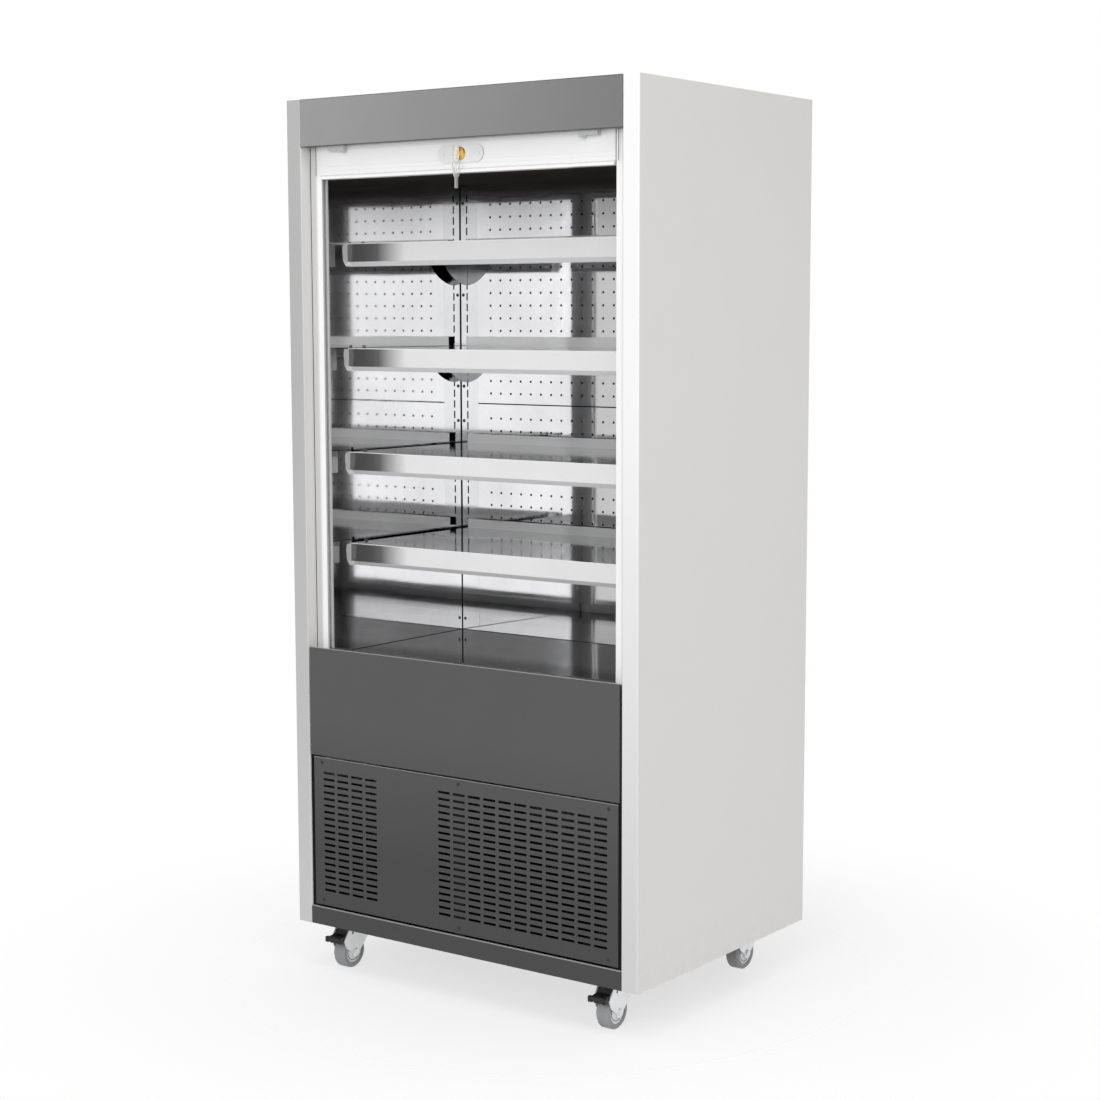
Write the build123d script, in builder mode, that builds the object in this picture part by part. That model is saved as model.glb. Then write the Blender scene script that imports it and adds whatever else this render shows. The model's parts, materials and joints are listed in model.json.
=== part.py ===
from build123d import *
import math
import os

# Open-front multideck display fridge on four swivel casters, with a slatted security shutter.
# Millimetres. X runs across the front, -Y is the front, +Z is up.
# The origin is on the floor, under the centre of the cabinet.

os.makedirs("parts", exist_ok=True)

# Cabinet envelope
overall_width = 940.0
overall_depth = 680.0
overall_height = 1960.0
body_clearance = 105.0
cheek_width = 40.0
skin = 1.2
liner_sheet = 1.5
seat_gap = 0.3

# Front panels, from the floor up
plinth_lift = 1.0
plinth_height = 41.0
panel_joint = 5.0
grille_height = 343.0
lower_panel_height = 247.0
fascia_height = 103.0
fascia_return = 21.0
grille_recess = 4.0
grille_side_gap = 10.0
panel_side_gap = 5.0
hem_depth = 2.4
gutter_depth = 41.0
gutter_width = 21.0
landing_drop = 7.0
landing_depth = 30.0
cheek_return = 30.0
cheek_edge_radius = 3.0

# Ventilation slots of the grille panel
slot_length = 33.0
slot_height = 5.5
slot_pitch_x = 41.6
slot_pitch_z = 15.1
slot_rows = 19
intake_columns = 11
outlet_columns = 4
slot_side_margin = 28.0
slot_top_margin = 35.0
screw_head_radius = 4.0
screw_head_height = 1.6
screw_shank_radius = 2.0
screw_hole_clearance = 0.1
screw_edge_x = 24.0
screw_edge_z = 12.0

# Chassis
base_plate = 2.5
post_width = 28.0
post_depth = 24.0
post_sheet = 2.0
rear_skin_depth = 38.0
rear_grille_height = 395.0
rear_slot_length = 90.0
rear_slot_height = 6.0
rear_slot_pitch_x = 120.0
rear_slot_pitch_z = 24.0
rear_slot_columns = 5
rear_slot_rows = 8
rear_slot_margin = 60.0
gland_radius = 11.0
gland_length = 14.0
gland_bore_radius = 4.5
gland_inset = 44.0

# Refrigerated space
deck_drop = 27.0
ceiling_drop = 158.0
back_wall_inset = 123.0
duct_inset = 40.0
tub_depth = 215.0
air_slot_length = 58.0
air_slot_width = 22.0
air_slot_pitch = 76.0
air_slot_inset = 26.0

# Rack uprights in the back corners
upright_width = 53.5
rack_slot_height = 18.0
rack_slot_width = 4.0
rack_pitch = 26.0
rack_first_rise = 34.0
rack_top_gap = 34.0
rack_slot_inset = 20.5
air_panel_share = 0.2144
back_joint_share = 0.515
back_seam = 1.0
liner_screw_shares = (0.025, 0.228, 0.475, 0.553, 0.756, 0.958)
liner_screw_inset = 9.0

# Shelves
shelf_shares = (0.85, 0.625, 0.4, 0.2)
shelf_side_gap = 28.5
shelf_sheet = 1.5
shelf_above_slot = 12.0
shelf_inset = 115.0
shelf_back_gap = 10.0
shelf_upstand = 22.0
shelf_face_height = 39.5
shelf_lip_height = 10.0
shelf_lip_depth = 12.0
shelf_return = 24.0
end_plate = 2.0
end_plate_reach = 18.0
end_plate_foot = 3.0
end_plate_nose = 3.0
end_plate_bow = 1.8
end_plate_bow_rise = 4.0
bracket_plate = 2.5
bracket_flange = 23.0
bracket_inset = 59.0
bracket_tip_height = 20.0
bracket_arm_height = 34.0
bracket_lobe_start = 92.0
bracket_lobe_height = 89.0
bracket_lobe_bow_y = 50.6
bracket_lobe_bow_z = 73.0
bracket_tab_height = 6.0
bracket_tab_length = 9.0
hook_neck = 12.0
hook_drop = 8.0
hook_thickness = 5.0
hook_span_slots = 2

# Shutter
curtain_inset = 40.0
guide_width = 35.0
guide_depth = 20.0
guide_wall = 1.6
guide_slot = 10.0
tongue_gap = 0.3
tongue_reach = 12.0
rail_depth = 24.0
rail_height = 82.0
rail_show = 70.0
rail_wall = 2.0
rail_end_wall = 6.0
rail_end_gap = 1.5
rail_back_gap = 4.0
rail_lip_height = 9.0
rail_lip_reach = 5.0
rail_rib_depth = 0.8
rail_screw_inset = 145.0
rail_screw_z = 14.5
rail_bevel = 3.0
rail_rib_pitch = 9.0
rail_button = 6.0
rail_button_proud = 0.5
tongue_foot_rise = 12.0
tongue_top_gap = 4.0
tongue_bolt_gap = 8.0
slat_thickness = 8.0
curtain_end_gap = 2.5
roll_drop = 58.0
roll_radius = 58.0
roll_sides = 12
roll_end_gap = 6.0
shaft_radius = 9.0
running_gap = 0.05
cradle_plate = 3.0
cradle_width = 90.0
cradle_drop = 24.0
shaft_overhang = 2.0
stop_length = 46.0
stop_height = 14.0
stop_depth = 10.0
stop_inset = 92.0
stop_step_height = 9.8
stop_nose_length = 9.2
stop_slope_length = 4.6
strike_inset = 18.0
strike_plate = 3.0
strike_height = 30.0

# Lock in the shutter rail
lock_height = 39.0
closing_gap = 1.0
lock_plate_length = 122.0
lock_plate_height = 36.0
lock_plate_thickness = 2.0
lock_plate_screw_x = 47.0
plug_radius = 13.5
plug_reach = 5.0
plug_depth = 14.0
plug_chamfer = 1.5
keyway_width = 2.6
keyway_height = 9.0
key_thickness = 2.2
key_bow_radius = 9.0
key_bow_length = 34.0
spare_bow_length = 22.0
spare_blade = 21.0
key_bow_hole = 2.8
key_stem = 2.0
key_blade = 12.0
ring_radius = 10.0
ring_gap = 0.2
ring_wire = 1.8
bolt_radius = 4.0
bolt_recess = 1.0
bolt_inner_x = 22.0

# Condensing unit behind the grille
condenser_width = 330.0
condenser_height = 250.0
condenser_thickness = 44.0
condenser_centre_x = -15.0
condenser_inset = 40.0
coil_core = 16.0
condenser_fin_pitch = 15.0
coil_fin_sheet = 1.2
coil_end_plate = 2.0
shroud_depth = 40.0
shroud_sheet = 1.5
condenser_fan_radius = 100.0
fan_tip_gap = 5.0
fan_hub_radius = 26.0
fan_hub_length = 24.0
fan_blade_count = 5
fan_blade_sheet = 1.6
fan_blade_pitch = 28.0
fan_shaft_radius = 4.0
blade_root_share = 0.8
blade_tip_share = 0.97
blade_shoulder_share = 0.8
blade_lead_share = 0.9
blade_nose_share = 0.4
blade_tail_share = 0.7
motor_radius = 34.0
motor_length = 52.0
motor_arm_width = 14.0
compressor_inset_x = 155.0
compressor_inset_y = 280.0
compressor_radius = 78.0
compressor_height = 190.0
compressor_foot = 170.0
compressor_foot_height = 16.0
compressor_seam = 3.0
compressor_bar = 20.0
compressor_bar_inset = 15.3
compressor_seam_rise = 104.5
compressor_base_radius = 58.5
compressor_base_rise = 19.5
compressor_crown_radius = 46.8
compressor_crown_drop = 31.2

# Evaporator and its fans under the deck
evaporator_side_gap = 110.0
evaporator_height = 150.0
evaporator_depth = 180.0
evaporator_inset = 400.0
evaporator_fin_pitch = 24.0
evaporator_fan_radius = 62.0
evaporator_fan_share = 0.4
fan_plate_inset = 220.0
fan_plate_sheet = 1.5
small_hub_radius = 18.0
small_hub_length = 18.0
small_motor_radius = 24.0
small_motor_length = 40.0

# Casters
wheel_radius = 37.5
wheel_width = 32.0
wheel_chamfer = 4.0
hub_radius = 26.5
hub_recess = 3.0
hub_boss_radius = 10.0
axle_radius = 4.0
axle_head_radius = 8.0
axle_head_height = 3.5
caster_inset_x = 102.0
caster_inset_y = 82.0
caster_trail = 26.0
caster_plate_size = 64.0
caster_plate_thickness = 3.0
race_radius = 22.0
race_height = 8.0
crown_height = 4.0
crown_radius = 25.0
kingpin_radius = 5.0
kingpin_length = 6.0
leg_sheet = 2.5
leg_gap = 2.5
leg_foot_radius = 12.0
leg_ear_height = 33.0
leg_waist_height = 13.0
leg_front_reach = 38.0
leg_front_waist = 30.0
leg_front_shoulder = 22.0
leg_rear_reach = 45.0
leg_rear_waist = 27.0
web_front_reach = 3.75
web_rear_reach = 17.5
pedal_width = 35.0
pedal_pin_radius = 3.0
pedal_pin_forward = 10.0
pedal_pin_z = 84.0
pedal_tip_gap = 1.0
pedal_tip_width = 46.0
pedal_tip_depth = 8.0
pedal_tip_top = 79.0
pedal_tip_foot = 67.0
pedal_top = 89.0
pedal_top_length = 14.0
pedal_neck_y = 26.0
pedal_neck_z = 81.0
pedal_heel = 4.0
pedal_heel_foot = 77.5
pedal_belly_y = 24.0
pedal_belly_z = 74.5
pedal_grip_width = 5.0
pedal_grip_depth = 4.0
pedal_grip_pitch = 11.0
pedal_grip_count = 3

# Planes and levels worked out from the sizes above
half_width = overall_width / 2
half_depth = overall_depth / 2
inner_x = half_width - cheek_width
liner_x = inner_x - liner_sheet
front_y = -half_depth
back_y = half_depth
skin_back_y = front_y + skin
cheek_return_y = front_y + cheek_return
body_height = overall_height - body_clearance
plinth_bottom = body_clearance + plinth_lift
grille_bottom = plinth_bottom + plinth_height + panel_joint
grille_top = grille_bottom + grille_height
panel_bottom = grille_top + panel_joint
sill_top = panel_bottom + lower_panel_height
gutter_floor = sill_top - gutter_depth
landing_top = sill_top - landing_drop
gutter_back_y = front_y + hem_depth + gutter_width
sill_back_y = gutter_back_y + landing_depth
fascia_bottom = overall_height - fascia_height
roof_bottom = overall_height - skin
grille_front_y = front_y + grille_recess
post_front_y = grille_front_y + skin
post_top = gutter_floor - skin
base_top = body_clearance + base_plate
deck_top = sill_top - deck_drop
deck_bottom = deck_top - liner_sheet
tub_bottom = deck_top - tub_depth
ceiling_bottom = overall_height - ceiling_drop
interior_height = ceiling_bottom - deck_top
back_wall_y = back_y - back_wall_inset
duct_back_y = back_y - duct_inset
curtain_y = front_y + curtain_inset
guide_face_x = inner_x - guide_width
guide_front_y = curtain_y - guide_depth / 2
guide_back_y = curtain_y + guide_depth / 2
ceiling_front_y = curtain_y + rail_depth / 2 + rail_back_gap
liner_front_y = cheek_return_y
back_sheet_y = back_wall_y + liner_sheet
upright_inner_x = liner_x - upright_width
rack_slot_x = liner_x - rack_slot_inset
liner_screw_x = liner_x - liner_screw_inset
liner_screw_heights = [deck_top + share * interior_height for share in liner_screw_shares]
rack_first_slot = deck_top + rack_first_rise
rack_slot_count = int((interior_height - rack_first_rise - rack_top_gap) // rack_pitch) + 1
back_lower_top_z = deck_top + air_panel_share * interior_height
back_joint_z = deck_top + back_joint_share * interior_height
shelf_half_width = liner_x - shelf_side_gap
shelf_face_y = front_y + shelf_inset
bracket_front_y = shelf_face_y + bracket_inset
air_slot_count = int(2 * liner_x // air_slot_pitch) - 1
rail_bottom = fascia_bottom - rail_show
rail_screw_x = inner_x - rail_screw_inset
stop_x = inner_x - stop_inset
roll_centre_z = overall_height - roll_drop
condenser_front_y = front_y + condenser_inset
compressor_x = inner_x - compressor_inset_x
compressor_y = front_y + compressor_inset_y
evaporator_width = 2 * (inner_x - evaporator_side_gap)
evaporator_y = front_y + evaporator_inset
evaporator_fan_x = evaporator_fan_share * inner_x
fan_plate_y = front_y + fan_plate_inset
caster_x = half_width - caster_inset_x
caster_y = half_depth - caster_inset_y
rail_top = rail_bottom + rail_height
rail_half_length = guide_face_x - rail_end_gap
rail_front_y = curtain_y - rail_depth / 2
roll_centre_y = curtain_y + roll_radius - slat_thickness / 2
guide_top = roll_centre_z - cradle_drop - seat_gap
bolt_tip_x = rail_half_length - bolt_recess
lock_z = rail_bottom + lock_height
shutter_travel = rail_bottom - landing_top - closing_gap
strike_z = lock_z - shutter_travel
coil_half = condenser_width / 2
condenser_back_y = condenser_front_y + condenser_thickness
shroud_back_y = condenser_back_y + shroud_depth
condenser_centre_z = base_top + condenser_height / 2
evaporator_centre_z = tub_bottom + liner_sheet + evaporator_height / 2
shelf_slots = [round(share * rack_slot_count) for share in shelf_shares]
shelf_tops = [rack_first_slot + rack_pitch * slot + shelf_above_slot for slot in shelf_slots]
caster_plate_bottom = body_clearance - caster_plate_thickness
race_bottom = caster_plate_bottom - race_height
crown_top = race_bottom - seat_gap
crown_bottom = crown_top - crown_height
leg_inner = wheel_width / 2 + leg_gap
leg_outer = leg_inner + leg_sheet


# A finished piece gets its label and its own file
def save(piece, label):
    piece.part.label = label
    export_step(piece.part, f"parts/{label}.step")


# A block between two corners, added to or cut from the piece being built
def block(low, high, mode=Mode.ADD):
    size = [b - a for a, b in zip(low, high)]
    middle = tuple((a + b) / 2 for a, b in zip(low, high))
    with Locations(middle):
        Box(*size, mode=mode)


# The same block on both sides of the cabinet; low and high are given for the +X side
def mirrored_block(low, high, mode=Mode.ADD):
    block(low, high, mode)
    block((-high[0], low[1], low[2]), (-low[0], high[1], high[2]), mode)


# A cylinder along an axis from a start point; mode as for block
def rod(start, direction, radius, length, mode=Mode.ADD):
    with Locations(Plane(origin=start, z_dir=direction)):
        Cylinder(radius, length, align=(Align.CENTER, Align.CENTER, Align.MIN), mode=mode)


# Side panels: pressed trays with a return at the front edge, open towards the liner
def side_panel(side, label):
    outer = side * half_width
    inner = side * inner_x
    wall = side * skin
    low_x = min(outer, inner)
    high_x = max(outer, inner)
    with BuildPart() as panel:
        block((low_x, front_y, body_clearance), (high_x, back_y, overall_height))
        front_edges = panel.edges().filter_by(Axis.Z).group_by(Axis.Y)[0]
        fillet(front_edges, cheek_edge_radius)
        pocket_x = sorted((outer - wall, inner))
        block(
            (pocket_x[0], cheek_return_y, body_clearance + skin),
            (pocket_x[1], back_y - skin, overall_height - skin),
            Mode.SUBTRACT,
        )
        fold_x = sorted((outer - wall, inner + wall))
        block(
            (fold_x[0], front_y + cheek_edge_radius, body_clearance + skin),
            (fold_x[1], cheek_return_y, overall_height - skin),
            Mode.SUBTRACT,
        )
    save(panel, label)


side_panel(-1, "side_panel_left")
side_panel(1, "side_panel_right")

# Stainless skins that line the inside of both side panels
with BuildPart() as side_liners:
    mirrored_block(
        (liner_x, liner_front_y, base_top),
        (inner_x, duct_back_y, roof_bottom),
    )
save(side_liners, "side_liners")

# Roof sheet between the side panels
with BuildPart() as roof_panel:
    block((-inner_x, skin_back_y, roof_bottom), (inner_x, back_y, overall_height))
save(roof_panel, "roof_panel")

# Upper rear panel: a shallow tray that closes the air duct
with BuildPart() as rear_panel:
    rear_low = base_top + rear_grille_height
    block((-inner_x, back_y - rear_skin_depth, rear_low), (inner_x, back_y, roof_bottom))
    block(
        (-inner_x + skin, back_y - rear_skin_depth, rear_low + skin),
        (inner_x - skin, back_y - skin, roof_bottom - skin),
        Mode.SUBTRACT,
    )
save(rear_panel, "rear_panel")

# Rear grille of the machine compartment, with the gland where the mains lead enters
with BuildPart() as rear_grille:
    block((-inner_x, back_y - skin, base_top), (inner_x, back_y, rear_low))
    mirrored_block(
        (inner_x - skin, back_y - rear_skin_depth, base_top),
        (inner_x, back_y - skin, rear_low),
    )
    rear_slot_z = rear_low - rear_slot_margin - (rear_slot_rows - 1) * rear_slot_pitch_z / 2
    grille_middle = (0, back_y, rear_slot_z)
    with BuildSketch(Plane(origin=grille_middle, x_dir=(1, 0, 0), z_dir=(0, 1, 0))):
        with GridLocations(rear_slot_pitch_x, rear_slot_pitch_z, rear_slot_columns, rear_slot_rows):
            Rectangle(rear_slot_length, rear_slot_height)
    extrude(amount=-2 * skin, mode=Mode.SUBTRACT)
    gland_x = -inner_x + gland_inset
    gland_z = base_top + gland_inset
    rod((gland_x, back_y - skin, gland_z), (0, -1, 0), gland_radius, gland_length)
    rod(
        (gland_x, back_y, gland_z),
        (0, -1, 0),
        gland_bore_radius,
        gland_length + 2 * skin,
        Mode.SUBTRACT,
    )
save(rear_grille, "rear_grille")

# Fascia: a folded sheet that hides the shutter roll
with BuildPart() as top_fascia:
    with BuildSketch(Plane.YZ.offset(-inner_x)):
        with BuildLine():
            Polyline(
                (front_y, fascia_bottom),
                (front_y, overall_height),
                (skin_back_y, overall_height),
                (skin_back_y, roof_bottom),
                (front_y + fascia_return, roof_bottom),
                (front_y + fascia_return, roof_bottom - skin),
                (skin_back_y, roof_bottom - skin),
                (skin_back_y, fascia_bottom + skin),
                (front_y + fascia_return, fascia_bottom + skin),
                (front_y + fascia_return, fascia_bottom),
                close=True,
            )
        make_face()
    extrude(amount=2 * inner_x)
save(top_fascia, "top_fascia")

# Plain lower front panel: one bent sheet with a hemmed top, a gutter behind it for the hanging
# keys, and a landing on which the shutter closes
with BuildPart() as lower_front_panel:
    panel_x = inner_x - panel_side_gap
    block((-panel_x, front_y, panel_bottom), (panel_x, skin_back_y, sill_top))
    mirrored_block(
        (panel_x - skin, skin_back_y, panel_bottom),
        (panel_x, post_front_y, gutter_floor - skin),
    )
    block((-panel_x, skin_back_y, gutter_floor), (panel_x, front_y + hem_depth, sill_top))
    block((-panel_x, skin_back_y, gutter_floor - skin), (panel_x, gutter_back_y, gutter_floor))
    block((-panel_x, gutter_back_y, gutter_floor - skin), (panel_x, gutter_back_y + skin, landing_top))
    block(
        (-panel_x, gutter_back_y + skin, landing_top - skin),
        (panel_x, sill_back_y, landing_top),
    )
    block((-panel_x, sill_back_y - skin, deck_bottom), (panel_x, sill_back_y, landing_top - skin))
save(lower_front_panel, "lower_front_panel")

# Grille panel: eleven columns of slots before the condenser and four before the outlet
grille_half = inner_x - grille_side_gap
screw_columns = (-(grille_half - screw_edge_x), 0.0, grille_half - screw_edge_x)
screw_rows = (grille_bottom + screw_edge_z, grille_top - screw_edge_z)
screw_spots = [(x, z) for x in screw_columns for z in screw_rows]
slot_top_z = grille_top - slot_top_margin
slot_middle_z = slot_top_z - (slot_rows - 1) * slot_pitch_z / 2
intake_x = grille_half - slot_side_margin - slot_length / 2 - (intake_columns - 1) * slot_pitch_x / 2
outlet_x = -grille_half + slot_side_margin + slot_length / 2 + (outlet_columns - 1) * slot_pitch_x / 2
with BuildPart() as grille_panel:
    block((-grille_half, grille_front_y, grille_bottom), (grille_half, post_front_y, grille_top))
    with BuildSketch(Plane.XZ.offset(-grille_front_y)):
        with Locations((intake_x, slot_middle_z)):
            with GridLocations(slot_pitch_x, slot_pitch_z, intake_columns, slot_rows):
                Rectangle(slot_length, slot_height)
        with Locations((outlet_x, slot_middle_z)):
            with GridLocations(slot_pitch_x, slot_pitch_z, outlet_columns, slot_rows):
                Rectangle(slot_length, slot_height)
        with Locations(*screw_spots):
            Circle(screw_shank_radius + screw_hole_clearance)
    extrude(amount=-2 * skin, mode=Mode.SUBTRACT)
save(grille_panel, "grille_panel")

# Screws that hold the grille panel
with BuildPart() as grille_screws:
    for x, z in screw_spots:
        rod((x, grille_front_y, z), (0, -1, 0), screw_head_radius, screw_head_height)
        rod((x, grille_front_y, z), (0, 1, 0), screw_shank_radius, skin)
save(grille_screws, "grille_screws")

# Plinth: a folded strip along the floor of the machine compartment
with BuildPart() as plinth:
    plinth_top = plinth_bottom + plinth_height
    block((-inner_x, front_y, plinth_bottom), (inner_x, skin_back_y, plinth_top))
    block((-inner_x, skin_back_y, plinth_top - skin), (inner_x, post_front_y, plinth_top))
save(plinth, "plinth")

# Chassis: base plate, front corner posts and a stiffening rail under the sill
with BuildPart() as base_frame:
    block((-inner_x, skin_back_y, body_clearance), (inner_x, back_y - skin, base_top))
    mirrored_block(
        (inner_x - post_width, post_front_y, base_top),
        (inner_x, post_front_y + post_sheet, post_top),
    )
    mirrored_block(
        (inner_x - post_sheet, post_front_y + post_sheet, base_top),
        (inner_x, post_front_y + post_depth, post_top),
    )
    block(
        (-inner_x + post_width, post_front_y, grille_top - post_width),
        (inner_x - post_width, post_front_y + post_sheet, grille_top),
    )
    block(
        (-post_width / 2, post_front_y, base_top),
        (post_width / 2, post_front_y + post_sheet, grille_top - post_width),
    )
    with BuildSketch(Plane.XY.offset(body_clearance)):
        with GridLocations(2 * caster_x, 2 * caster_y, 2, 2):
            Circle(kingpin_radius + running_gap)
    extrude(amount=base_plate, mode=Mode.SUBTRACT)
save(base_frame, "base_frame")

# Insulated tub that holds the evaporator above the machine compartment
with BuildPart() as evaporator_tub:
    tub_front_y = sill_back_y - 2 * liner_sheet
    block((-liner_x, tub_front_y, tub_bottom), (liner_x, duct_back_y, tub_bottom + liner_sheet))
    block(
        (-liner_x, tub_front_y, tub_bottom + liner_sheet),
        (liner_x, tub_front_y + liner_sheet, deck_bottom),
    )
    block(
        (-liner_x, duct_back_y - liner_sheet, tub_bottom + liner_sheet),
        (liner_x, duct_back_y, deck_bottom),
    )
save(evaporator_tub, "evaporator_tub")


# A sheet pierced by a row of long slots for the moving air, at the front of the deck or ceiling
def air_sheet(low_z, high_z, start_y, label):
    with BuildPart() as sheet:
        block((-liner_x, start_y, low_z), (liner_x, back_wall_y, high_z))
        with BuildSketch(Plane.XY.offset(high_z)):
            with Locations((0, start_y + air_slot_inset)):
                with GridLocations(air_slot_pitch, 1, air_slot_count, 1):
                    Rectangle(air_slot_length, air_slot_width)
        extrude(amount=low_z - high_z, mode=Mode.SUBTRACT)
    save(sheet, label)


air_sheet(deck_bottom, deck_top, sill_back_y, "deck_pan")
air_sheet(ceiling_bottom, ceiling_bottom + liner_sheet, ceiling_front_y, "liner_ceiling")

# Corner uprights with the column of slots that the shelf brackets hook into
with BuildPart() as rack_uprights:
    mirrored_block(
        (upright_inner_x, back_wall_y, deck_top),
        (liner_x, back_sheet_y, ceiling_bottom),
    )
    slot_column_z = rack_first_slot + (rack_slot_count - 1) * rack_pitch / 2
    with BuildSketch(Plane.XZ.offset(-back_wall_y)):
        with Locations((0, slot_column_z)):
            with GridLocations(2 * rack_slot_x, rack_pitch, 2, rack_slot_count):
                Rectangle(rack_slot_width, rack_slot_height)
    extrude(amount=-liner_sheet, mode=Mode.SUBTRACT)
save(rack_uprights, "rack_uprights")


# Lower back wall panel between the uprights
with BuildPart() as back_panel_lower:
    block(
        (-upright_inner_x, back_wall_y, deck_top),
        (upright_inner_x, back_sheet_y, back_lower_top_z),
    )
save(back_panel_lower, "back_panel_lower")

# Two air panels above it, which meet at a narrow seam
with BuildPart() as back_panels_air:
    for low_z, high_z in (
        (back_lower_top_z, back_joint_z - back_seam / 2),
        (back_joint_z + back_seam / 2, ceiling_bottom),
    ):
        block((-upright_inner_x, back_wall_y, low_z), (upright_inner_x, back_sheet_y, high_z))
save(back_panels_air, "back_panels_air")

# Screws that hold the uprights to the back wall
with BuildPart() as liner_screws:
    for z in liner_screw_heights:
        for side in (-1, 1):
            rod((side * liner_screw_x, back_wall_y, z), (0, -1, 0), screw_head_radius, screw_head_height)
save(liner_screws, "liner_screws")


# Shelf tray: a flat sheet with a folded upstand at the back
def shelf(top_z, label):
    with BuildPart() as tray:
        rear_y = back_wall_y - shelf_back_gap
        block(
            (-shelf_half_width, shelf_face_y, top_z - shelf_sheet),
            (shelf_half_width, rear_y, top_z),
        )
        block(
            (-shelf_half_width, rear_y - shelf_sheet, top_z),
            (shelf_half_width, rear_y, top_z + shelf_upstand),
        )
    save(tray, label)


for number, top_z in enumerate(shelf_tops, start=1):
    shelf(top_z, f"shelf_{number}")

# Price rails on the front of the shelves: a folded face between two curved end plates
with BuildPart() as shelf_fronts:
    for top_z in shelf_tops:
        under = top_z - shelf_sheet
        face_foot = under - shelf_face_height
        lip_foot = face_foot - shelf_lip_height
        inner_face_y = shelf_face_y + shelf_sheet
        lip_y = shelf_face_y + shelf_lip_depth
        with BuildSketch(Plane.YZ.offset(-shelf_half_width)):
            with BuildLine():
                Polyline(
                    (shelf_face_y, under),
                    (shelf_face_y + shelf_return, under),
                    (shelf_face_y + shelf_return, under - shelf_sheet),
                    (inner_face_y, under - shelf_sheet),
                    (inner_face_y, face_foot + shelf_sheet / 2),
                    (lip_y + shelf_sheet / 2, lip_foot + shelf_sheet),
                    (shelf_face_y + shelf_return, lip_foot + shelf_sheet),
                    (shelf_face_y + shelf_return, lip_foot),
                    (lip_y, lip_foot),
                    (shelf_face_y, face_foot),
                    close=True,
                )
            make_face()
        extrude(amount=2 * shelf_half_width)
        for plane_x in (-shelf_half_width, shelf_half_width - end_plate):
            with BuildSketch(Plane.YZ.offset(plane_x)):
                with BuildLine():
                    nose_y = shelf_face_y - end_plate_reach
                    foot_y = shelf_face_y - end_plate_foot
                    nose = (nose_y + end_plate_nose, under)
                    bow = (
                        nose_y + end_plate_nose - end_plate_bow,
                        (under + lip_foot) / 2 + end_plate_bow_rise,
                    )
                    Line((shelf_face_y + shelf_return, under), nose)
                    ThreePointArc(nose, bow, (foot_y, lip_foot))
                    Line((foot_y, lip_foot), (shelf_face_y + shelf_return, lip_foot))
                    Line((shelf_face_y + shelf_return, lip_foot), (shelf_face_y + shelf_return, under))
                make_face()
            extrude(amount=end_plate)
save(shelf_fronts, "shelf_fronts")


# Outline of a shelf bracket in the YZ plane, with its two hooks behind the upright
def bracket_outline(top_z):
    under = top_z - shelf_sheet
    rear_y = back_wall_y - seat_gap
    lobe_foot = top_z - bracket_lobe_height
    lobe_y = rear_y - bracket_lobe_start
    Line((bracket_front_y, top_z + bracket_tab_height), (bracket_front_y, top_z - bracket_tip_height))
    Line((bracket_front_y, top_z - bracket_tip_height), (lobe_y, top_z - bracket_arm_height))
    ThreePointArc(
        (lobe_y, top_z - bracket_arm_height),
        (rear_y - bracket_lobe_bow_y, top_z - bracket_lobe_bow_z),
        (rear_y, lobe_foot),
    )
    Line((rear_y, lobe_foot), (rear_y, under))
    Line((rear_y, under), (bracket_front_y + bracket_tab_length, under))
    Polyline(
        (bracket_front_y + bracket_tab_length, under),
        (bracket_front_y + bracket_tab_length, top_z + bracket_tab_height),
        (bracket_front_y, top_z + bracket_tab_height),
    )


# Shelf brackets, a pair to each shelf: a side plate with hooks and a flange under the tray
with BuildPart() as shelf_brackets:
    for top_z in shelf_tops:
        under = top_z - shelf_sheet
        top_slot_z = top_z - shelf_above_slot
        for side in (-1, 1):
            plate_x = side * rack_slot_x - bracket_plate / 2
            with BuildSketch(Plane.YZ.offset(plate_x)):
                with BuildLine():
                    bracket_outline(top_z)
                make_face()
            extrude(amount=bracket_plate)
            for step in range(hook_span_slots):
                slot_foot = top_slot_z - step * rack_pitch - rack_slot_height / 2
                behind_y = back_sheet_y + seat_gap
                block(
                    (plate_x, back_wall_y - seat_gap, slot_foot),
                    (plate_x + bracket_plate, behind_y + hook_thickness, slot_foot + hook_neck),
                )
                block(
                    (plate_x, behind_y, slot_foot - hook_drop),
                    (plate_x + bracket_plate, behind_y + hook_thickness, slot_foot),
                )
            flange_x = sorted((side * rack_slot_x, side * (rack_slot_x - bracket_flange)))
            block(
                (flange_x[0], bracket_front_y + bracket_tab_length, under - bracket_plate),
                (flange_x[1], back_wall_y - shelf_back_gap, under),
            )
save(shelf_brackets, "shelf_brackets")


# Finned coil: a core with fins on both faces between two end plates
def finned_coil(centre, width, height, depth, fin_pitch, label):
    x, y, z = centre
    with BuildPart() as coil:
        block(
            (x - width / 2, y - coil_core / 2, z - height / 2 + coil_core / 4),
            (x + width / 2, y + coil_core / 2, z + height / 2 - coil_core / 4),
        )
        fins = int((width - 2 * coil_end_plate) // fin_pitch)
        with Locations((x, y, z)):
            with GridLocations(fin_pitch, 1, fins, 1):
                Box(coil_fin_sheet, depth - 2 * coil_end_plate, height - coil_core / 2)
        for side in (-1, 1):
            plate_x = sorted((x + side * width / 2, x + side * (width / 2 + coil_end_plate)))
            block((plate_x[0], y - depth / 2, z - height / 2), (plate_x[1], y + depth / 2, z + height / 2))
    save(coil, label)


finned_coil(
    (condenser_centre_x, condenser_front_y + condenser_thickness / 2, condenser_centre_z),
    condenser_width,
    condenser_height,
    condenser_thickness,
    condenser_fin_pitch,
    "condenser",
)
finned_coil(
    (0, evaporator_y, evaporator_centre_z),
    evaporator_width,
    evaporator_height,
    evaporator_depth,
    evaporator_fin_pitch,
    "evaporator",
)

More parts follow.
